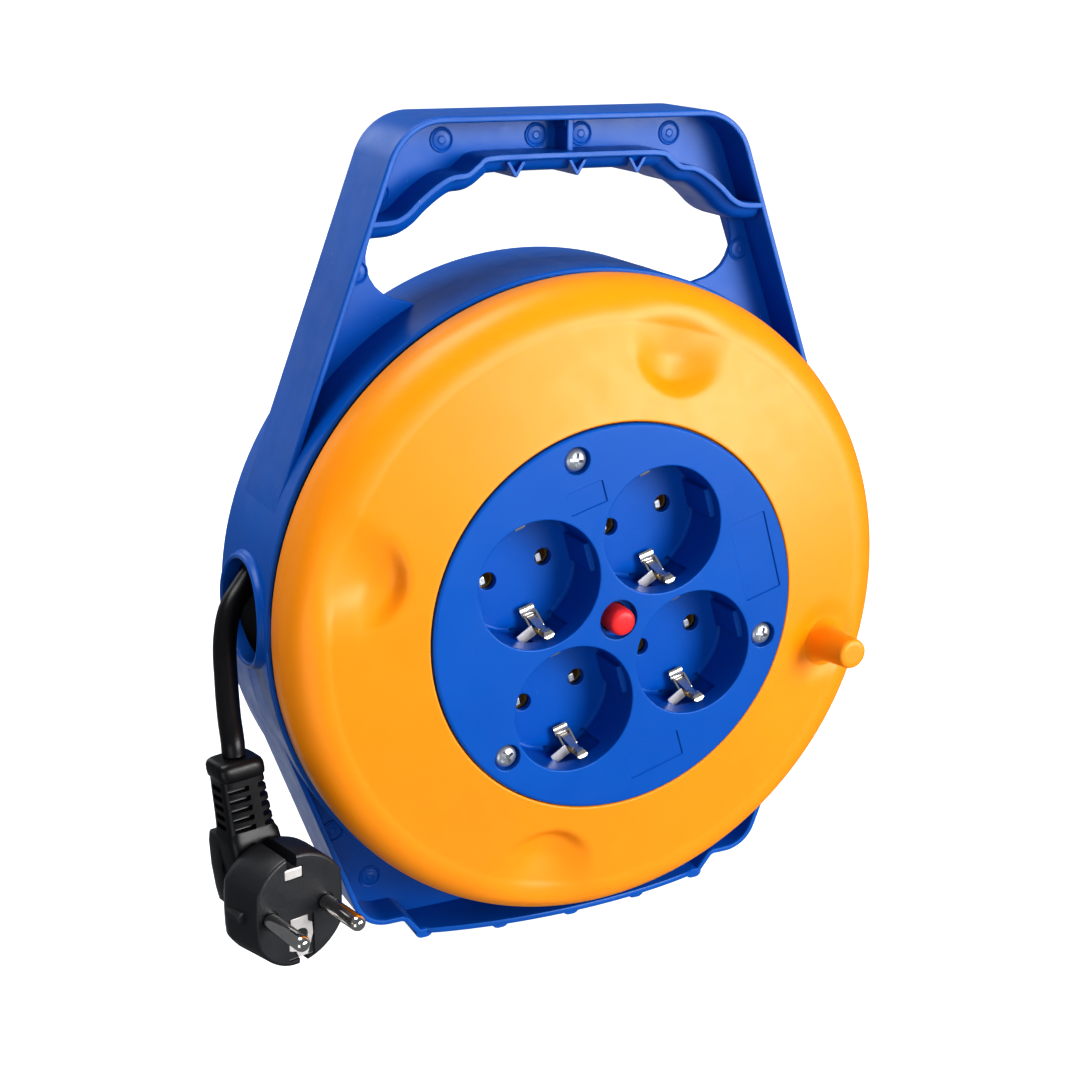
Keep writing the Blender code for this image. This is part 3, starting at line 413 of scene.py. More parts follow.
def make_studio():
    world = bpy.data.worlds.new("studio")
    scene.world = world
    world.use_nodes = True
    tree = world.node_tree
    dim = tree.nodes["Background"]
    dim.inputs["Color"].default_value = (0.90, 0.95, 1.0, 1.0)
    dim.inputs["Strength"].default_value = 0.15
    bright = tree.nodes.new("ShaderNodeBackground")
    bright.inputs["Color"].default_value = (1.0, 1.0, 1.0, 1.0)
    bright.inputs["Strength"].default_value = 1.0
    seen = tree.nodes.new("ShaderNodeLightPath")
    choose = tree.nodes.new("ShaderNodeMixShader")
    tree.links.new(seen.outputs["Is Camera Ray"], choose.inputs[0])
    tree.links.new(dim.outputs[0], choose.inputs[1])
    tree.links.new(bright.outputs[0], choose.inputs[2])
    tree.links.new(choose.outputs[0], tree.nodes["World Output"].inputs["Surface"])
    scene.view_settings.view_transform = "Standard"
    scene.view_settings.look = "Medium High Contrast"
    area_light("key", (1.05, -1.75, 0.72), (0.0, 0.0, 0.12), (0.95, 1.15), 45.0, shines=False)
    area_light("fill", (-0.55, -1.90, 0.45), (0.0, 0.0, 0.10), (1.2, 0.9), 12.0, shines=False)
    area_light("gloss", (1.10, -1.60, 0.22), (0.0, 0.0, 0.12), (1.4, 0.85), 30.0, lights=False)
    area_light("top", (-0.30, 0.15, 1.20), (0.0, 0.0, 0.1), (0.7, 0.7), 8.0)
    area_light("left", (-1.25, 0.45, 0.30), (0.0, 0.0, 0.12), (0.5, 0.9), 4.0, shines=False)
    area_light("left card", (-0.90, -0.90, -0.30), (-0.08, 0.0, 0.08), (0.8, 0.8), 2.4, lights=False)
    area_light("bounce", (0.30, -0.60, -0.75), (0.0, 0.0, 0.1), (1.2, 1.2), 3.0, shines=False)
    area_light("flange card", (-0.50, 1.15, 0.28), (0.0, 0.0, 0.2), (0.5, 0.4), 0.25, lights=False)
    area_light("high card", (-0.38, 1.15, 0.70), (0.0, 0.0, 0.1), (0.6, 0.45), 1.3, lights=False)
    area_light("low card", (0.05, 1.25, -0.60), (0.0, 0.0, 0.05), (1.0, 0.6), 0.8, lights=False)
    area_light("rear", (0.10, 1.50, 0.90), (0.0, 0.0, 0.12), (1.2, 0.9), 14.0, shines=False)
    make_floor()


def make_floor():
    """A pale floor just under the reel that neither shades nor tints it."""
    half = 3.0
    level = -0.0004
    corners = [(-half, -half, level), (half, -half, level), (half, half, level), (-half, half, level)]
    mesh = bpy.data.meshes.new("floor")
    mesh.from_pydata(corners, [], [(0, 1, 2, 3)])
    m = Nodes("pale floor")
    tone = m.scale(m.noise(60.0, 2.0, 0.5), 0.3, 0.7, 0.0, 1.0)
    m.link(m.mix(tone, (0.44, 0.44, 0.44), (0.46, 0.46, 0.46)), m.shader.inputs["Base Color"])
    m.set("Roughness", 0.9)
    m.set("Specular IOR Level", 0.1)
    m.set("Emission Color", (1.0, 1.0, 1.0, 1.0))
    m.set("Emission Strength", 0.80)
    mesh.materials.append(m.material)
    ground = add_object("floor", mesh)
    ground.visible_diffuse = False
    ground.visible_glossy = False
    ground.visible_shadow = False


# --- cables ---
TAIL = [  # the free cable, from inside the outlet down to the plug
    (-76.3, 50.0, 50.0), (-83.2, 50.8, 37.8), (-89.0, 51.4, 26.2), (-94.8, 51.4, 15.8),
    (-100.8, 49.2, 9.6), (-106.6, 45.5, 3.6), (-109.8, 41.2, -5.0), (-111.2, 36.3, -14.5),
    (-112.3, 31.0, -23.5), (-112.8, 26.7, -29.5), (-112.8, 25.9, -34.0),
]


def cable_curve(name, points, body):
    curve = bpy.data.curves.new(name, "CURVE")
    curve.dimensions = "3D"
    curve.bevel_depth = CABLE_D / 2 * 0.001
    curve.bevel_resolution = 4
    curve.resolution_u = 1
    curve.use_fill_caps = True
    spline = curve.splines.new("POLY")
    spline.points.add(len(points) - 1)
    for point, place in zip(spline.points, points):
        at = REEL @ Vector(place)
        point.co = (at[0], at[1], at[2], 1.0)
    spline.use_smooth = True
    curve.materials.append(BLACK)
    made = add_object(name, curve)
    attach(made, body)
    return made


def winding_route():
    """Five lanes side by side, layer on layer from the barrel, each running back over the last."""
    lanes = 5
    layers = 4
    pitch = 7.1
    climb = 6.2
    clear = CABLE_D / 2 + 0.2
    radius = 60.6 + clear
    depth = 24.0 + clear
    steps = 24
    cross = 0.2
    start = radians(-97.0) - DRUM_TURN
    route = []
    total = lanes * layers * steps
    for i in range(total + 1):
        turns = i / steps
        layer = min(layers - 1, int(turns / lanes))
        along = turns - layer * lanes
        # each turn keeps its lane and crosses to the next in its last fifth
        lane = int(along)
        lane_pos = min(lanes - 1.0, lane + smoothstep((along - lane - 1.0 + cross) / cross))
        if layer % 2:
            lane_pos = lanes - 1.0 - lane_pos
        rise = min(layers - 1.0, layer + smoothstep((along - lanes + cross) / cross))
        r = radius + climb * rise
        angle = start + 2 * pi * turns
        route.append((r * cos(angle), depth + pitch * lane_pos, r * sin(angle)))
    return route


def make_cables():
    tail_points = curve_through(TAIL, 6)
    tail = cable_curve("cable_tail_sheath", tail_points, "casing_body")
    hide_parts("cable_tail")
    turns = winding_route()
    wound = cable_curve("cable_turns", turns, "drum")
    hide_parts("cable_winding")


# --- plates and cuts ---
def offset_loop(loop, inset):
    """Move a closed anticlockwise loop inwards."""
    out = []
    count = len(loop)
    for i in range(count):
        before = Vector(loop[i - 1])
        here = Vector(loop[i])
        after = Vector(loop[(i + 1) % count])
        a = (here - before).normalized()
        b = (after - here).normalized()
        na = Vector((-a[1], a[0]))
        nb = Vector((-b[1], b[0]))
        middle = na + nb
        middle = middle / max(0.35, middle.dot(na))
        out.append(tuple(here + middle * inset))
    return out


def slab_piece(loop, front, back, radius):
    """A plate of any outline with rounded front and back rims."""
    area = sum(a[0] * b[1] - b[0] * a[1] for a, b in zip(loop, loop[1:] + loop[:1]))
    if area < 0:
        loop = list(reversed(loop))
    rim = ((1.0, 0.0), (0.62, 0.08), (0.3, 0.3), (0.08, 0.62), (0.0, 1.0))
    rings = [(inset * radius, front + y * radius) for inset, y in rim]
    rings += [(inset * radius, back - y * radius) for inset, y in reversed(rim)]
    points = []
    rows = []
    for inset, y in rings:
        rows.append(list(range(len(points), len(points) + len(loop))))
        points += at_depth(offset_loop(loop, inset), y)
    faces = bridge_rows(rows)
    for row in (rows[0], rows[-1]):
        flat = [Vector((points[i][0], points[i][2], 0.0)) for i in row]
        faces += [tuple(row[j] for j in t) for t in tessellate_polygon([flat])]
    return points, faces


def applied(target):
    """Bake an object's modifiers into its mesh."""
    graph = bpy.context.evaluated_depsgraph_get()
    graph.update()
    mesh = bpy.data.meshes.new_from_object(target.evaluated_get(graph))
    old = target.data
    target.modifiers.clear()
    target.data = mesh
    bpy.data.meshes.remove(old)


def loose(part, place):
    """A closed part as an object of its own, to cut with."""
    points, faces = part
    mesh = bpy.data.meshes.new("tool")
    mesh.from_pydata([place @ Vector(p) for p in points], [], faces)
    weld_and_turn(mesh)
    return add_object("tool", mesh)


def carve(target, parts, place, smooth=35.0):
    """Cut closed parts out of a closed piece."""
    tools = [loose(part, place) for part in parts]
    for tool in tools:
        cut = target.modifiers.new("cut", "BOOLEAN")
        cut.operation = "DIFFERENCE"
        cut.solver = "EXACT"
        cut.object = tool
    applied(target)
    for tool in tools:
        mesh = tool.data
        bpy.data.objects.remove(tool)
        bpy.data.meshes.remove(mesh)
    target.data.shade_smooth()
    target.data.set_sharp_from_angle(angle=radians(smooth))
    flatten(target.data, place)


def even(target):
    """Keep big flat faces flat beside their rounded rims."""
    shade = target.modifiers.new("flat faces", "WEIGHTED_NORMAL")
    shade.keep_sharp = True
    shade.weight = 60


# --- casing ---
def casing_piece(name, parts, smooth):
    return make(name, parts, REEL, "casing_body", BLUE, smooth, ("casing",))


def tangent_point(z):
    """A point of the right leg's outer line at a height."""
    return ((RING_R - abs(z) * sin(LEG)) / cos(LEG), z)


def upper_outline():
    """Handle and upper legs, from the left leg's foot to the right one's, clockwise."""
    corner = 18.0
    cz = HANDLE_TOP - corner
    cx = (RING_R - corner - cz * sin(LEG)) / cos(LEG)
    half = [(0.0, HANDLE_TOP), (22.0, HANDLE_TOP)]
    half += arc(cx, cz, corner, pi / 2, LEG, 14)
    half += straight(half[-1], tangent_point(RING_R * sin(LEG)), 12)[1:]
    half.append((RING_MIDDLE * cos(LEG - 0.06), RING_MIDDLE * sin(LEG - 0.06)))
    return [(-x, z) for x, z in reversed(half[1:])] + half


def lower_outline():
    """Lower legs and stepped foot, from the left to the right, anticlockwise."""
    corner = 12.0
    cz = FLANGE_BOTTOM + corner
    cx = (RING_R - corner + cz * sin(LEG)) / cos(LEG)
    half = [(RING_MIDDLE * cos(0.06 - LEG), RING_MIDDLE * sin(0.06 - LEG))]
    turn = arc(cx, cz, corner, -LEG, -pi / 2, 10)
    half += straight(tangent_point(-RING_R * sin(LEG)), turn[0], 8) + turn[1:]
    half += [(57.6, FLANGE_BOTTOM), (56.7, FLANGE_BOTTOM - 0.4), (52.6, FOOT_BOTTOM + 0.5),
             (51.4, FOOT_BOTTOM), (40.0, FOOT_BOTTOM), (20.0, FOOT_BOTTOM), (0.0, FOOT_BOTTOM)]
    return [(-x, z) for x, z in half[:-1]] + list(reversed(half))


def both_sides(half):
    """Close a (depth, offset) section that runs from the middle round the front and back to the middle."""
    return half + [(2 * MIDDLE - y, s) for y, s in reversed(half[1:-1])]


BAND = both_sides([
    (47.0, 2.1), (34.0, 1.95), (33.25, 1.85), (32.95, 1.77), (32.76, 1.6), (32.7, 1.3), (32.7, 0.55),
    (32.76, 0.25), (32.95, 0.07), (33.25, 0.0), (34.0, 0.0), (47.0, 0.0),
])


def band(outline, inward):
    """The flange's section carried along an outline; inward is the inner side's sign."""
    rings = []
    for (x, z), along in zip(outline, directions(outline)):
        rings.append([(x - along[1] * inward * s, y, z + along[0] * inward * s) for y, s in BAND])
    return loft(rings, caps=True)


GRIP = [
    (0.0, 133.6), (14.0, 133.6), (28.0, 133.3), (31.0, 131.7), (35.0, 128.9), (40.0, 128.2), (44.3, 126.0),
    (49.3, 122.3), (53.5, 118.5), (57.7, 116.5), (64.5, 116.0),
]
GRIP_WALL = both_sides([
    (47.0, -1.7), (33.0, -1.62), (32.75, -1.5), (32.7, -1.2), (32.7, -0.3), (32.76, 0.0), (33.0, 0.12),
    (34.2, 0.3), (34.7, 0.9), (35.3, 2.1), (36.6, 3.3), (38.5, 3.9), (41.0, 4.1), (47.0, 4.15),
])


def grip_wall():
    """The grip's lower wall: a rolled section along a stepped line."""
    route = [(-x, z) for x, z in reversed(GRIP[1:])] + GRIP
    line = curve_through(at_depth(route, 0.0), 5)
    rings = []
    for here, along in zip(line, directions(line)):
        rings.append([(here[0] + along[2] * s, y, here[2] - along[0] * s) for y, s in GRIP_WALL])
    return loft(rings, caps=True)


def upper_web():
    """The plate between the flanges above the ring, with the hand opening left out."""
    right = [(40.0, 126.5), (44.3, 124.6), (49.3, 121.0), (53.5, 117.6), (57.7, 115.6), (59.6, 113.4),
             (60.8, 110.5), (61.8, 106.0), (61.7, 102.5), (60.6, 99.5), (58.9, 96.8), (56.5, 94.7),
             (53.6, 93.2), (50.0, 92.3), (47.5, 91.6), (45.5, 90.4)]
    end = atan2(right[-1][1], right[-1][0])
    start = LEG - 0.02
    loop = offset_line(upper_outline(), 0.9)[1:-1]
    loop += arc(0.0, 0.0, RING_MIDDLE, start, end, 14)
    loop += list(reversed(right))
    loop += [(28.0, 131.0), (0.0, 131.4), (-28.0, 131.0)]
    loop += [(-x, z) for x, z in right]
    loop += arc(0.0, 0.0, RING_MIDDLE, pi - end, pi - start, 14)
    return slab_piece(loop, WEB_FRONT, WEB_BACK, 0.5)


def offset_line(line, inset):
    """Move an open line to its right-hand side, which is inwards on a clockwise outline."""
    return [(x + along[1] * inset, z - along[0] * inset) for (x, z), along in zip(line, directions(line))]


def lower_web():
    """The plate between the flanges below the ring."""
    loop = offset_line(lower_outline(), -0.9)[1:-1]
    loop += arc(0.0, 0.0, RING_MIDDLE, -LEG + 0.02, -pi + LEG - 0.02, 40)
    return slab_piece(loop, WEB_FRONT, WEB_BACK, 0.4)


def ejector_mark(x, z):
    """The raised disc that an ejector pin leaves on the web."""
    rise = [(0.0, 0.42), (0.9, 0.42), (1.2, 0.3), (1.5, 0.24), (2.5, 0.22), (2.75, 0.12), (2.9, -0.02),
            (3.05, 0.12), (3.2, 0.34), (3.4, 0.4), (3.65, 0.3), (3.85, -0.2)]
    return lathe([(r, WEB_FRONT - up) for r, up in rise], 32, (x, z))


def foot_plate():
    """The bowed plate under the drum, with rolled rims."""
    rings = []
    half = 51.8
    steps = 32
    low = FOOT_BOTTOM + 0.03
    high = FOOT_BOTTOM + 2.1
    for i in range(steps + 1):
        x = -half + 2 * half * i / steps
        bow = 1.0 - (x / half) ** 2
        end = min(1.0, (half - abs(x)) / 5.0)
        front = 32.9 - 7.2 * bow ** 0.9 + 2.5 * (1 - sqrt(1 - (1 - end) ** 2))
        rim = [(front + 0.7, low), (front + 0.2, low + 0.2), (front, low + 0.7),
               (front, high - 0.5), (front + 0.2, high - 0.12), (front + 0.7, high)]
        rim += [(2 * MIDDLE - y, z) for y, z in reversed(rim)]
        rings.append([(x, y, z) for y, z in rim])
    return loft(rings, caps=True)


def nub(x):
    """A rounded rail under the foot, flat where it stands."""
    half = [(2.9, 0.6), (2.9, 0.0), (2.5, -0.7), (1.8, -1.25), (0.95, -1.5)]
    loop = [(x + out, FOOT_BOTTOM + up) for out, up in half]
    loop += [(x - out, FOOT_BOTTOM + up) for out, up in reversed(half)]
    start = 33.3 - 6.3 * (1.0 - (x / 52.0) ** 2)
    return slab_piece(loop, start, 2 * MIDDLE - start, 0.35)


EYE = (45.0, 3.0)
EYE_HALF = (17.5, 15.2)
EYE_TILT = radians(8.0)


def eye_point(angle, out, height):
    """A point round the cable outlet, out from its bore and at a radius from the axis."""
    a = (EYE_HALF[0] + out) * cos(angle)
    b = (EYE_HALF[1] + out) * sin(angle)
    y = EYE[0] + a * cos(EYE_TILT) - b * sin(EYE_TILT)
    z = EYE[1] + a * sin(EYE_TILT) + b * cos(EYE_TILT)
    return (-sqrt(height * height - z * z), y, z)


def cable_outlet():
    """The collar round the outlet, rolled over its lip."""
    section = [(0.0, 99.4), (0.0, 101.5), (0.0, 103.5), (0.1, 103.95), (0.4, 104.25), (0.9, 104.38),
               (1.35, 104.28), (1.68, 104.0), (1.85, 103.5), (2.0, 102.9), (2.35, 102.5), (3.0, 102.2),
               (3.6, 102.05), (3.6, 101.0), (1.6, 99.4)]
    steps = 72
    rings = [[eye_point(2 * pi * i / steps, s, h) for s, h in section] for i in range(steps)]
    return loft(rings, closed_path=True)


def outlet_bore():
    """A straight tool that opens the ring's wall inside the collar."""
    steps = 48
    mouth = [eye_point(2 * pi * i / steps, 0.4, 102.0) for i in range(steps)]
    return loft([[(x, y, z) for _, y, z in mouth] for x in (-96.0, -110.0)], caps=True)


def gusset(x):
    """A small hollow triangle under the grip."""
    loop = [(-3.1, 133.0), (-0.5, 128.7), (0.0, 128.4), (0.5, 128.7), (3.1, 133.0), (1.9, 133.0),
            (0.0, 129.95), (-1.9, 133.0)]
    return slab_piece([(x + dx, z) for dx, z in loop], 32.9, 61.3, 0.18)


def make_casing():
    """The ring with its back wall and spigot, the frame round it and the outlet's collar."""
    ring = [
        (0.0, 70.5), (22.0, 70.5), (22.9, 70.3), (23.4, 69.8), (23.9, 69.2), (24.6, 69.0), (60.0, 69.0),
        (101.3, 69.0), (102.0, 68.8), (102.35, 68.4), (102.4, 67.8), (102.4, 62.0), (102.4, 47.25),
        (102.46, 47.1), (102.46, 46.9), (102.4, 46.75), (102.4, 26.0), (102.36, 25.5), (102.2, 25.15),
        (101.9, 25.0), (101.1, 25.0), (100.8, 25.15), (100.64, 25.5), (100.6, 26.0), (100.6, 65.4),
        (100.2, 66.5), (99.1, 67.0), (60.0, 67.0), (10.6, 67.0), (9.5, 66.6), (9.0, 65.6), (9.0, 49.0),
        (8.5, 48.4), (7.8, 48.3), (3.2, 48.3), (2.6, 48.8), (2.6, 63.5), (0.0, 63.5),
    ]
    casing = casing_piece("casing_moulding", [lathe(ring, 180)], 28.0)
    carve(casing, [outlet_bore()], REEL, 28.0)
    even(casing)
    frame_parts = [band(upper_outline(), -1), band(lower_outline(), 1), upper_web(), lower_web(),
                   grip_wall(), foot_plate()]
    frame_parts += [nub(25.0 * i) for i in range(-2, 3)]
    frame_parts.append(block((-1.15, 38.0, 131.9), (1.15, 56.0, 145.4), 0.5))
    frame_parts.append(block((-1.7, 38.6, 141.6), (1.7, 55.4, 144.9), 0.8))
    frame_parts += [gusset(20.0 * i) for i in range(-1, 2)]
    for x, z in ((38.0, 138.6), (7.5, 139.2), (65.0, 101.5), (63.5, -93.5), (75.8, -75.0)):
        frame_parts += [ejector_mark(-x, z), ejector_mark(x, z)]
    frame_parts.append(ejector_mark(-58.0, 124.0))
    even(casing_piece("casing_frame", frame_parts, 32.0))
    casing_piece("cable_outlet_collar", [cable_outlet()], 40.0)


# --- front disc ---
ROLL = 12.2
DISC_ROLL = DISC_R - ROLL
DISC_INNER = 60.8
PEG_AT = 80.0


def disc_face(r):
    """Depth of the disc's face at a radius: a shallow cone, then the rolled rim."""
    cone = 0.6 + 0.20 * (min(r, DISC_ROLL) - DISC_INNER)
    across = min(1.0, max(0.0, (r - DISC_ROLL) / ROLL))
    return cone + ROLL * (1.0 - sqrt(1.0 - across * across))


def hollow(x, z):
    """Extra depth of the three finger scoops, which open towards the rim, and the dish round the peg."""
    extra = 0.0
    reach = 13.0
    for cx, cz in ((0.0, 1.0), (-1.0, 0.0), (0.0, -1.0)):
        out = x * cx + z * cz - 68.0
        side = abs(x * cz - z * cx)
        if out <= 0.0:
            continue
        if out < reach:
            spread = (((reach - out) / reach) ** 1.7 + (side / 17.0) ** 1.7) ** (1.0 / 1.7)
        else:
            spread = side / (17.0 + 0.5 * (out - reach))
        if spread < 1.0:
            crisp = 1.0 - smoothstep((out - 1.0) / 12.0)
            bowl = (1.0 - spread ** 2.6) * smoothstep((1.0 - spread) / 0.34)
            bell = (1.0 - spread * spread) ** 2
            fade = max(0.0, 1.0 - max(0.0, out - 4.0) / 24.0)
            extra = max(extra, 6.3 * (crisp * bowl + (1.0 - crisp) * bell) * fade)
    gap = sqrt((x - PEG_AT) ** 2 + z * z)
    return extra + 1.3 * smoothstep((15.0 - gap) / 8.0)


def crank_peg():
    """The finger peg, widening into the disc and leaning a little towards its free end."""
    foot = disc_face(PEG_AT) + 1.5
    profile = [(0.0, -12.2), (2.8, -12.2), (3.8, -12.14), (4.4, -11.95), (4.72, -11.6), (4.86, -11.1),
               (4.95, -10.0), (5.2, -4.0), (5.5, 0.0)]
    profile += [(r, foot + y) for r, y in ((5.75, -4.0), (6.1, -2.6), (6.8, -1.3), (7.9, -0.3), (9.2, 0.4),
                                           (10.5, 1.2))]
    points, faces = lathe(profile, 64, (PEG_AT, 0.0))
    return [(x, y, z + 0.08 * max(0.0, 4.0 - y)) for x, y, z in points], faces


def make_disc():
    """The orange disc as one closed skin, with its scoops and peg."""
    rows = [(60.8, 3.0), (60.8, 1.25), (60.87, 0.95), (61.1, 0.75), (61.4, 0.72)]
    outer = [62.0 + 0.9 * i for i in range(30)] + [DISC_ROLL + 0.6 * i for i in range(17)]
    outer += [99.2, 99.8, 100.3, 100.7, 100.95, 101.1, 101.18]
    rows += [(r, disc_face(r)) for r in outer]
    rows += [(101.2, 19.2), (101.2, 21.0), (101.2, 23.2), (101.1, 23.6), (100.8, 23.8), (99.3, 23.8),
             (99.0, 23.6), (98.9, 23.2), (98.8, 19.5)]
    under = [98.0, 96.0, 93.0, 90.0, 87.0, 83.0, 79.0, 75.0, 71.0, 67.0, 64.0]
    rows += [(r, disc_face(r + 1.6) + 2.0) for r in under]
    rows += [(62.8, 3.4), (62.8, 5.4), (59.1, 5.4), (59.1, 3.2)]
    steps = 300
    rings = []
    for r, y in rows:
        scooped = 61.6 < r < 99.5
        loop = circle(0.0, 0.0, r, steps)
        rings.append([(x, y + (hollow(x, z) if scooped else 0.0), z) for x, z in loop])
    make("crank_disc", [loft(rings, closed_path=True), crank_peg()], DRUM, "drum", ORANGE,
         40.0, ("front_disc",))


# --- socket plate ---
CENTRES = [(SOCKET_AT * x, SOCKET_AT * z) for x, z in ((-1, 1), (1, 1), (1, -1), (-1, -1))]
LABELS = [(0.0, 41.0, 6.2, 3.6), (49.3, 0.0, 6.4, 13.2), (0.0, -48.4, 9.6, 4.5)]  # x, z, half sizes
WELL_STEPS = 96
HOLE_STEPS = 36
POCKETS = [(-pi / 2, 6.5, 6), (pi / 2, 3.2, 3)]  # angle, depth of the top, half width in well steps


def screw_places():
    return [(53.0 * cos(a), 53.0 * sin(a)) for a in (radians(90.0 + 120.0 * i) for i in range(3))]


def wall_open(angle, depth):
    """Whether a clip pocket opens the well's wall here."""
    for at, top, half in POCKETS:
        away = abs((angle - at + pi) % (2 * pi) - pi)
        if away < half * 2 * pi / WELL_STEPS and depth >= top - 0.01:
            return True
    return False


def well_wall(cx, cz):
    """The rolled rim and the wall, open where the pockets are."""
    rows = [(0.45, 0.0), (0.22, 0.05), (0.06, 0.2), (0.0, 0.45), (0.0, 3.2), (0.0, 6.5), (-0.05, 15.9),
            (-0.2, 16.7), (-0.6, 17.15), (-1.1, WELL_DEPTH)]
    points = [p for out, y in rows for p in at_depth(circle(cx, cz, WELL_R + out, WELL_STEPS), y)]
    faces = []
    for row, (_, y) in enumerate(rows[:-1]):
        base = row * WELL_STEPS
        for i in range(WELL_STEPS):
            j = (i + 1) % WELL_STEPS
            if not wall_open(2 * pi * (i + 0.5) / WELL_STEPS, y):
                faces.append((base + i, base + j, base + WELL_STEPS + j, base + WELL_STEPS + i))
    return points, faces


def pocket(cx, cz, at, top, half):
    """The inner sides of a clip pocket behind the wall."""
    spread = half * 2 * pi / WELL_STEPS
    reach = WELL_R * sin(spread)
    side = sin(at)
    near = WELL_R * cos(spread) - 0.02
    far = 22.3
    deep = WELL_DEPTH + 0.6
    corners = [(u, y, v) for y in (top, deep) for u, v in ((-reach, near), (reach, near), (reach, far),
                                                           (-reach, far))]
    points = [(cx + x, y, cz + side * u) for x, y, u in corners]
    points += [(cx + WELL_R * sin(spread * k / half), top, cz + side * WELL_R * cos(spread * k / half))
               for k in range(-half, half + 1)]
    roof = (3, *range(len(corners), len(points)), 2)
    return points, [(3, 2, 6, 7), (0, 3, 7, 4), (2, 1, 5, 6), (4, 5, 6, 7), roof]


def side_key(cx, cz, side):
    """A guide block on the well's side wall."""
    rings = []
    for inset, y in ((1.5, 3.55), (0.6, 3.7), (0.2, 4.0), (0.0, 4.5), (0.0, 17.4)):
        x0, x1 = sorted((cx + side * (WELL_R - 2.0 + inset), cx + side * (WELL_R + 0.6)))
        half = 4.75 - 0.25 * inset
        rings.append(at_depth(rounded(x0, x1, cz - half, cz + half, 0.45, 3), y))
    return loft(rings, caps=True)


def well(cx, cz):
    """A socket well: wall, two clip pockets, floor with two pin holes, outer shell and side keys."""
    back = WELL_DEPTH + 2.1
    pins = [cx - PIN_AT, cx + PIN_AT]
    parts = [well_wall(cx, cz)] + [pocket(cx, cz, *facts) for facts in POCKETS]
    parts.append(panel([circle(cx, cz, WELL_R - 1.1, WELL_STEPS)]
                       + [circle(px, cz, 3.0, HOLE_STEPS) for px in pins], WELL_DEPTH))
    parts.append(panel([circle(cx, cz, WELL_R + 1.4, 64)]
                       + [circle(px, cz, 2.75, HOLE_STEPS) for px in pins], back))
    parts.append(lathe([(WELL_R + 1.4, 2.6), (WELL_R + 1.4, back)], 64, (cx, cz)))
    for px, side in zip(pins, (-1, 1)):
        parts.append(lathe([(3.0, WELL_DEPTH), (2.84, WELL_DEPTH + 0.05), (2.76, WELL_DEPTH + 0.2),
                            (2.75, back)], HOLE_STEPS, (px, cz)))
        parts.append(side_key(cx, cz, side))
    return parts


def make_plate():
    """The blue plate: wells, screw recesses, button recess and blank label fields."""
    rim = 120
    loops = [circle(0.0, 0.0, PLATE_R - 0.9, rim)]
    parts = []
    for cx, cz in CENTRES:
        loops.append(circle(cx, cz, WELL_R + 0.45, WELL_STEPS))
        parts += well(cx, cz)
    for place in screw_places():
        loops.append(circle(*place, 4.45, 40))
        parts.append(lathe([(4.45, 0.0), (4.25, 0.08), (4.15, 0.3), (4.1, 2.8), (3.9, 3.05), (2.2, 3.05),
                            (2.2, 6.2), (2.6, 6.2)], 40, place))
    loops.append(circle(0.0, 0.0, 6.5, 48))
    parts.append(lathe([(6.5, 0.0), (6.3, 0.06), (6.2, 0.25), (6.15, 3.2), (5.9, 3.5), (4.7, 3.5),
                        (4.65, 5.0)], 48))
    for cx, cz, hx, hz in LABELS:
        outer = rounded(cx - hx, cx + hx, cz - hz, cz + hz, 0.5, 3)
        inner = rounded(cx - hx + 0.3, cx + hx - 0.3, cz - hz + 0.3, cz + hz - 0.3, 0.3, 3)
        loops.append(outer)
        parts.append(loft([at_depth(outer, 0.0), at_depth(inner, 0.45)]))
        parts.append(panel([inner], 0.45))
    parts.append(panel(loops, 0.0))
    parts.append(lathe([(PLATE_R - 0.9, 0.0), (PLATE_R - 0.45, 0.1), (PLATE_R - 0.14, 0.38),
                        (PLATE_R, 0.9), (PLATE_R, 2.3), (PLATE_R - 0.3, 2.6), (50.0, 2.6)], rim))
    even(make("socket_face", parts, PLATE, "drum", PLATE_BLUE, 30.0, ("socket_plate",)))


def sheet_strip(path, width, thick, steps=4):
    """A bent metal strip: a (height, depth) path, its width along x as a function of the way along."""
    line = curve_through([(0.0, y, u) for u, y in path], steps)
    rings = []
    for i, (here, along) in enumerate(zip(line, directions(line))):
        across = Vector((0.0, along[2], -along[1])) * (thick / 2)
        half = width(i / (len(line) - 1)) / 2
        ring = []
        for sx, sy in ((-1, 1), (-0.86, 1), (0.86, 1), (1, 1), (1, -1), (-1, -1)):
            point = here + across * sy
            ring.append((sx * half, point[1], point[2]))
        rings.append(ring)
    return loft(rings, caps=True)


def spring_width(t):
    """The sprung strip narrows, widens again to its lip and rounds off."""
    return (3.9 - 1.6 * smoothstep(t / 0.35) + 1.2 * smoothstep((t - 0.72) / 0.2)
            - 1.6 * smoothstep((t - 0.93) / 0.07))


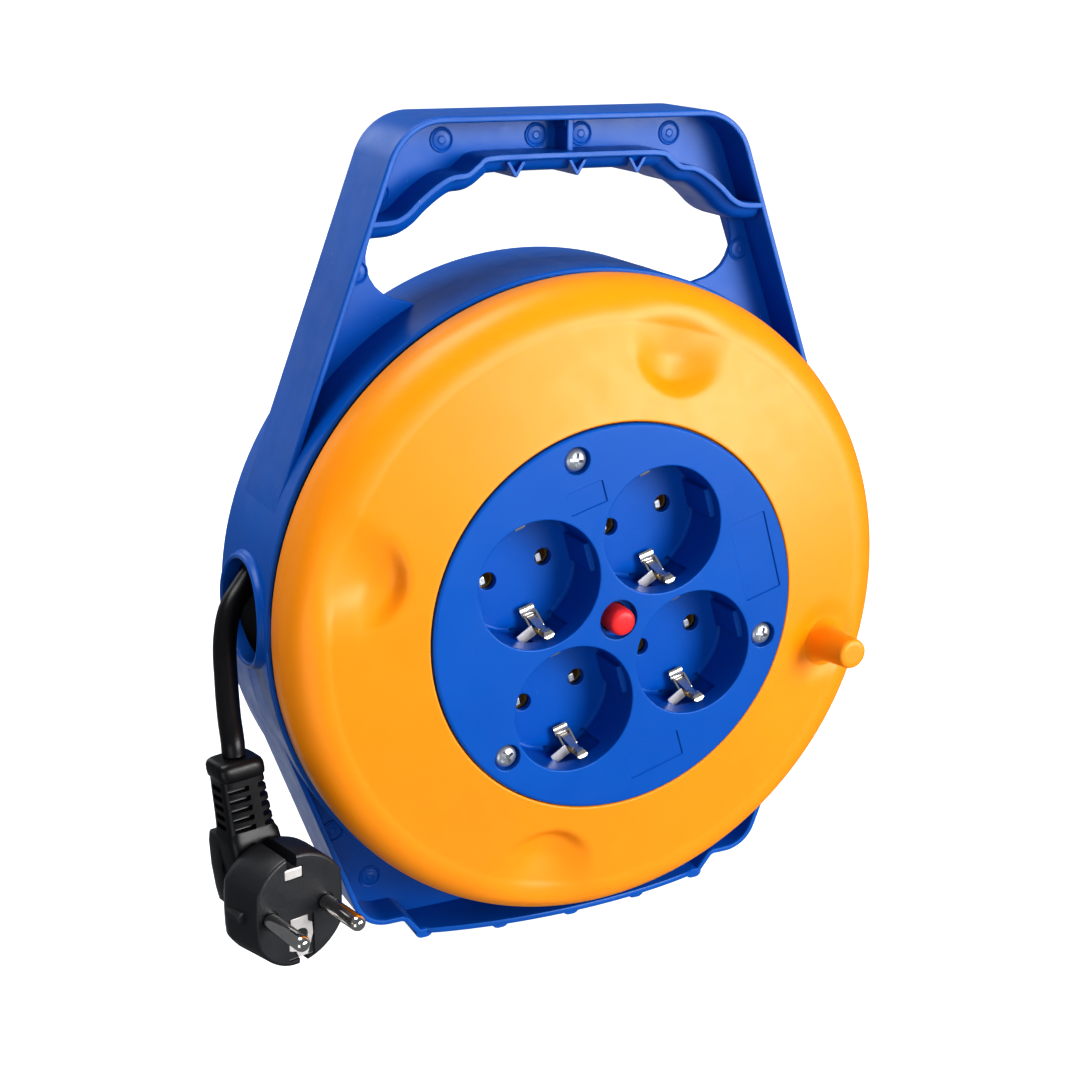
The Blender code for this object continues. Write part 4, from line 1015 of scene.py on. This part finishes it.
def clip_parts():
    """An earth contact round its well's middle: two springs, a foot with ribbed edges and a link."""
    parts = []
    for side in (-1, 1):
        points, faces = sheet_strip([(15.2, 17.6), (15.5, 16.0), (16.9, 12.6), (17.8, 9.4), (17.5, 7.2),
                                     (17.0, 6.0), (17.2, 4.8), (17.9, 4.1), (18.9, 3.8)], spring_width, 0.5)
        parts.append(([(x + (0.25 - 0.04 * y) * side, y, z * side) for x, y, z in points], faces))
        back = [(18.9, 3.8), (19.6, 4.6), (19.7, 8.0), (19.6, 14.0)]
        points, faces = sheet_strip(back, lambda t: 2.2, 0.4)
        parts.append(([(x, y, z * side) for x, y, z in points], faces))
    foot = sheet_strip([(-11.9, 15.7), (-12.6, 15.3), (-14.6, 15.3), (-15.9, 16.2), (-16.8, 17.2)],
                       lambda t: 4.7 - 1.4 * smoothstep((t - 0.45) / 0.3), 0.5)
    parts.append(moved(foot, (-0.7, 0.0, 0.0)))
    cheek = sheet_strip([(-14.6, 15.8), (-16.4, 14.2), (-18.2, 12.9), (-19.0, 12.8)], lambda t: 0.6, 1.7)
    parts += [moved(cheek, (edge, 0.0, 0.0)) for edge in (-2.2, 1.9)]
    parts.append(block((-5.6, 11.5, -20.6), (1.6, 11.9, -18.9), 0.15))
    return parts


def make_clips():
    """The earth contact of each well, with its side wing and its rivet."""
    wing = moved(block((-2.9, -0.2, -2.1), (2.9, 0.25, 2.1), 0.2), (0.0, 0.0, 0.0), 14.0, "X")
    wing = moved(wing, (-5.2, 9.4, -17.9), -16.0)
    rivet = lathe([(0.0, -1.0), (0.6, -0.95), (1.1, -0.6), (1.25, 0.0), (1.25, 2.4), (0.0, 2.4)], 24)
    rivet = moved(rivet, (-0.6, 11.6, -18.7), -35.0, "X")
    pieces = [("earth_contact", clip_parts(), NICKEL, "nickel"), ("earth_wing", [wing], TINNED, "nickel"),
              ("earth_rivet", [rivet], BRASS, "brass")]
    for number, (cx, cz) in enumerate(CENTRES, 1):
        for name, parts, finish, slot in pieces:
            placed = [moved(part, (cx, 0.0, cz)) for part in parts]
            make("%s_%d" % (name, number), placed, PLATE, "drum", finish, 38.0,
                 ("earth_clip_%d" % number,))


def make_leaves():
    """The live contacts seen down the pin holes."""
    leaves = []
    for cx, cz in CENTRES:
        for px, deep in ((cx - PIN_AT, 19.2), (cx + PIN_AT, 18.3)):
            leaves.append(block((px - 2.2, deep, cz - 1.5), (px - 0.1, 25.0, cz + 1.2), 0.35))
    make("contact_leaves", leaves, PLATE, "drum", ZINC, 38.0)


def make_screws():
    """The plate's three screws, with cross slots."""
    head = [(0.0, 0.3), (1.0, 0.33), (2.0, 0.5), (2.8, 0.85), (3.35, 1.35), (3.55, 1.9), (3.55, 2.5),
            (1.4, 2.6), (1.4, 19.0), (0.0, 20.0)]
    arm = block((-2.2, -1.0, -0.5), (2.2, 1.9, 0.5), 0.1)
    for number, (cx, cz) in enumerate(screw_places()):
        name = "plate_screw_%d" % (number + 1)
        screw = make(name + "_head", [lathe(head, 48, (cx, cz))], PLATE, "drum", ZINC, 35.0,
                     (name,))
        turn = 25.0 + 50.0 * number
        carve(screw, [moved(arm, (cx, 0.0, cz), turn + quarter) for quarter in (0.0, 90.0)], PLATE)


def make_button():
    """The red reset button and its stem."""
    profile = [(0.0, -3.4), (1.8, -3.38), (2.9, -3.28), (3.5, -3.08), (3.9, -2.75), (4.15, -2.25),
               (4.25, -1.6), (4.3, 0.0), (4.4, 8.5), (1.7, 8.5), (1.7, 27.0), (0.0, 27.0)]
    make("cutout_button", [lathe(profile, 64)], PLATE, "button", RED, 38.0, ("reset_button",))


# --- plug ---
def plug_outline(grow=0.0):
    """The contact face's outline: round, flattened sides, a grip ridge at pin height."""
    flat = 15.6 + grow
    radius = 17.8 + grow
    half = arc(0.0, 0.0, radius, pi / 2, acos(flat / radius), 14)
    half += [(flat + 0.3, 5.0), (flat + 0.4, 1.5), (flat + 0.4, -1.5), (flat + 0.3, -5.0)]
    half += arc(0.0, 0.0, radius, -acos(flat / radius), -pi / 2, 14)
    return list(reversed([(-x, z) for x, z in half[1:-1]])) + half


def taper(x, y):
    """The shell's left flank leans out behind the contact face."""
    return x * (1.0 - 0.15 * (1.0 - smoothstep(y / 13.0))) if x < 0.0 else x


def plug_piece(name, parts, stands_for, finish=PLUG_BLACK, smooth=PLUG_SMOOTH):
    return make(name, parts, PLUG, "casing_body", finish, smooth, (stands_for,))


def round_box(cx, cy, half_x, half_y, power=0.42, steps=40):
    """A rectangle with very round corners, as a superellipse."""
    out = []
    for i in range(steps):
        angle = 2 * pi * i / steps
        px = abs(cos(angle)) ** power * (1 if cos(angle) > 0 else -1)
        py = abs(sin(angle)) ** power * (1 if sin(angle) > 0 else -1)
        out.append((cx + half_x * px, cy + half_y * py))
    return out


def plug_ridge(side, tip, front, back):
    """A grip ridge on the body's flank at pin height."""
    loop = [(14.0, -2.1), (tip - 1.1, -1.9), (tip, -1.0), (tip, 0.5), (tip - 1.1, 1.5), (14.0, 1.7)]
    return slab_piece([(side * x, z) for x, z in loop], front, back, 0.5)


def make_shell():
    """The round body with its earth slots, its seats for the earth parts and pins, and its grip ridges."""
    rings = []
    for grow, y in ((-1.0, 0.0), (-0.45, 0.1), (-0.12, 0.4), (0.0, 0.9), (0.0, 6.0), (0.0, 12.0),
                    (-0.15, 14.0), (-0.7, 15.6), (-1.8, 17.0), (-3.6, 18.6), (-6.0, 20.2), (-9.0, 21.6)):
        rings.append([(taper(x, y), y, z) for x, z in plug_outline(grow)])
    body = plug_piece("plug_shell", [loft(rings, caps=True)], "plug_body")
    cuts = [
        block((-3.3, -1.0, 13.6), (0.2, 17.5, 21.0), 0.4),
        block((0.5, -1.0, -21.0), (3.5, 12.0, -15.6), 0.4),
        block((-3.1, -1.0, -15.9), (5.7, 0.7, -2.3), 0.3),
    ]
    for side in (-1, 1):
        cuts.append(lathe([(0.0, -1.0), (3.1, -1.0), (3.1, 0.5), (0.0, 0.5)], 32, (side * PIN_AT, 0.0)))
    carve(body, cuts, PLUG, PLUG_SMOOTH)
    # the tab's seat overlaps the upper slot, so it is cut after it
    carve(body, [block((-4.1, -1.0, 10.3), (2.2, 0.7, 13.9), 0.3)], PLUG, PLUG_SMOOTH)
    plug_piece("plug_ridges", [plug_ridge(-1, 16.7, 5.5, 12.8), plug_ridge(1, 18.1, 3.6, 7.4)], "plug_body")


NECK = [  # height, half width, half depth, depth of the middle
    (-9.0, 5.0, 4.0, 19.5), (-4.0, 7.4, 6.0, 20.0), (3.0, 8.4, 6.4, 20.8), (10.0, 8.6, 6.3, 21.6),
    (15.5, 8.6, 6.2, 22.2), (18.2, 8.5, 6.1, 22.6), (19.4, 7.9, 5.8, 22.9), (20.4, 7.75, 5.7, 23.0),
    (26.0, 7.5, 5.5, 23.0), (32.0, 7.3, 5.35, 23.0), (36.6, 7.1, 5.2, 23.0), (36.9, 7.3, 5.4, 23.0),
    (37.3, 7.6, 5.7, 23.0), (38.6, 7.7, 5.8, 23.0), (40.4, 7.65, 5.75, 23.0), (41.4, 7.3, 5.4, 23.0),
    (42.0, 6.6, 4.9, 23.0), (42.3, 5.6, 4.3, 23.0), (42.4, 4.0, 3.6, 23.0),
]


def make_relief():
    """The neck that leans back to the cable, with rows of relief slots."""
    lean = -0.14
    neck = []
    for z, half_x, half_y, y in NECK:
        neck.append([(x, py, z) for x, py in round_box(lean * z, y, half_x, half_y)])
    relief = plug_piece("plug_relief", [loft(neck, caps=True)], "plug_body", BLACK)
    slots = []
    for row in range(5):
        z = 21.2 + 3.15 * row
        for x0, x1, y0, y1 in ((-6.2, 0.6, 14.0, 19.6), (3.6, 12.0, 14.0, 21.6), (-12.0, -5.4, 20.6, 25.6),
                               (5.4, 12.0, 23.4, 26.6), (-4.0, 4.0, 26.6, 32.0)):
            slots.append(block((lean * z + x0, y0, z - 0.85), (lean * z + x1, y1, z + 0.85), 0.4))
    carve(relief, slots, PLUG, PLUG_SMOOTH)


def make_grip():
    """The pull wing behind the plug and the bridge that carries it."""
    wing = []
    for inset, y in ((0.9, 25.6), (0.25, 25.9), (0.0, 26.6), (0.0, 30.4), (0.25, 31.1), (0.9, 31.4)):
        wing.append(at_depth([(-10.6 + inset, 16.8 - inset), (-9.9, 17.4 - inset), (-6.5 - inset, 17.0),
                              (-5.2 - inset, -3.0), (-6.0 - inset, -6.0 + inset), (-7.4, -6.9 + inset),
                              (-8.2 + inset, -6.2), (-9.2 + inset, -2.0), (-10.4 + inset, 6.0),
                              (-10.9 + inset, 14.0)], y))
    bridge = [at_depth(rounded(-9.0, -4.0, low, high, 2.0, 4), y)
              for y, low, high in ((17.0, -5.4, 5.6), (22.0, -4.8, 8.4), (27.5, -4.8, 9.8))]
    plug_piece("plug_grip", [loft(wing, caps=True), loft(bridge, caps=True)], "plug_body")


def make_contacts():
    """The two pins, the earth spring and the earth tab."""
    profile = [(0.0, -19.0), (0.9, -18.95), (1.6, -18.65), (2.1, -18.1), (2.35, -17.4), (2.4, -16.6),
               (2.4, -0.2), (2.4, 5.6), (0.0, 5.6)]
    for side, name in ((-1, "plug_pin_left"), (1, "plug_pin_right")):
        plug_piece(name + "_bar", [lathe(profile, 48, (side * PIN_AT, 0.0))], name, PIN, 35.0)
    loop = [(-2.9, -12.6), (-2.9, -7.2), (-1.6, -6.4), (-2.3, -5.2), (-2.3, -2.5), (3.6, -2.5), (3.6, -4.6),
            (5.1, -5.4), (5.4, -9.0), (4.6, -11.4), (3.4, -15.4), (0.2, -15.4), (-0.6, -13.4)]
    spring = plug_piece("plug_earth_spring", [slab_piece(loop, 0.05, 0.75, 0.18)], "plug_earth_plate",
                        TINNED, 35.0)
    carve(spring, [lathe([(0.0, -0.5), (2.3, -0.5), (2.3, 1.2), (0.0, 1.2)], 28, (1.2, -8.5))], PLUG)
    plug_piece("plug_earth_tab", [block((-3.9, 0.0, 10.5), (2.0, 0.8, 13.7), 0.25)], "plug_earth_tongue",
               TINNED, 35.0)


# --- everything ---
CARRIED = {
    "drum_core": GREY, "hub_bush": WHITE, "hub_washer": ZINC, "hub_screw": ZINC, "earth_bar": BRASS,
    "busbar_live": BRASS, "busbar_neutral": BRASS, "contact_carrier": WHITE, "cutout_body": GREY,
    "reset_spring": ZINC, "cable_inner_end": BLACK, "cord_clamp_base": GREY, "cord_clamp_strap": GREY,
    "clamp_screw_1": ZINC, "clamp_screw_2": ZINC, "lead_live_in": BROWN, "lead_live_out": BROWN,
    "lead_neutral": LEAD_BLUE, "lead_earth": GREEN,
}

make_camera()
make_shell()
make_relief()
make_grip()
make_contacts()
make_cables()
make_casing()
make_disc()
make_plate()
make_clips()
make_leaves()
make_screws()
make_button()
for node_name, finish in CARRIED.items():
    for holder in nodes[node_name].material_slots:
        holder.material = finish
make_studio()
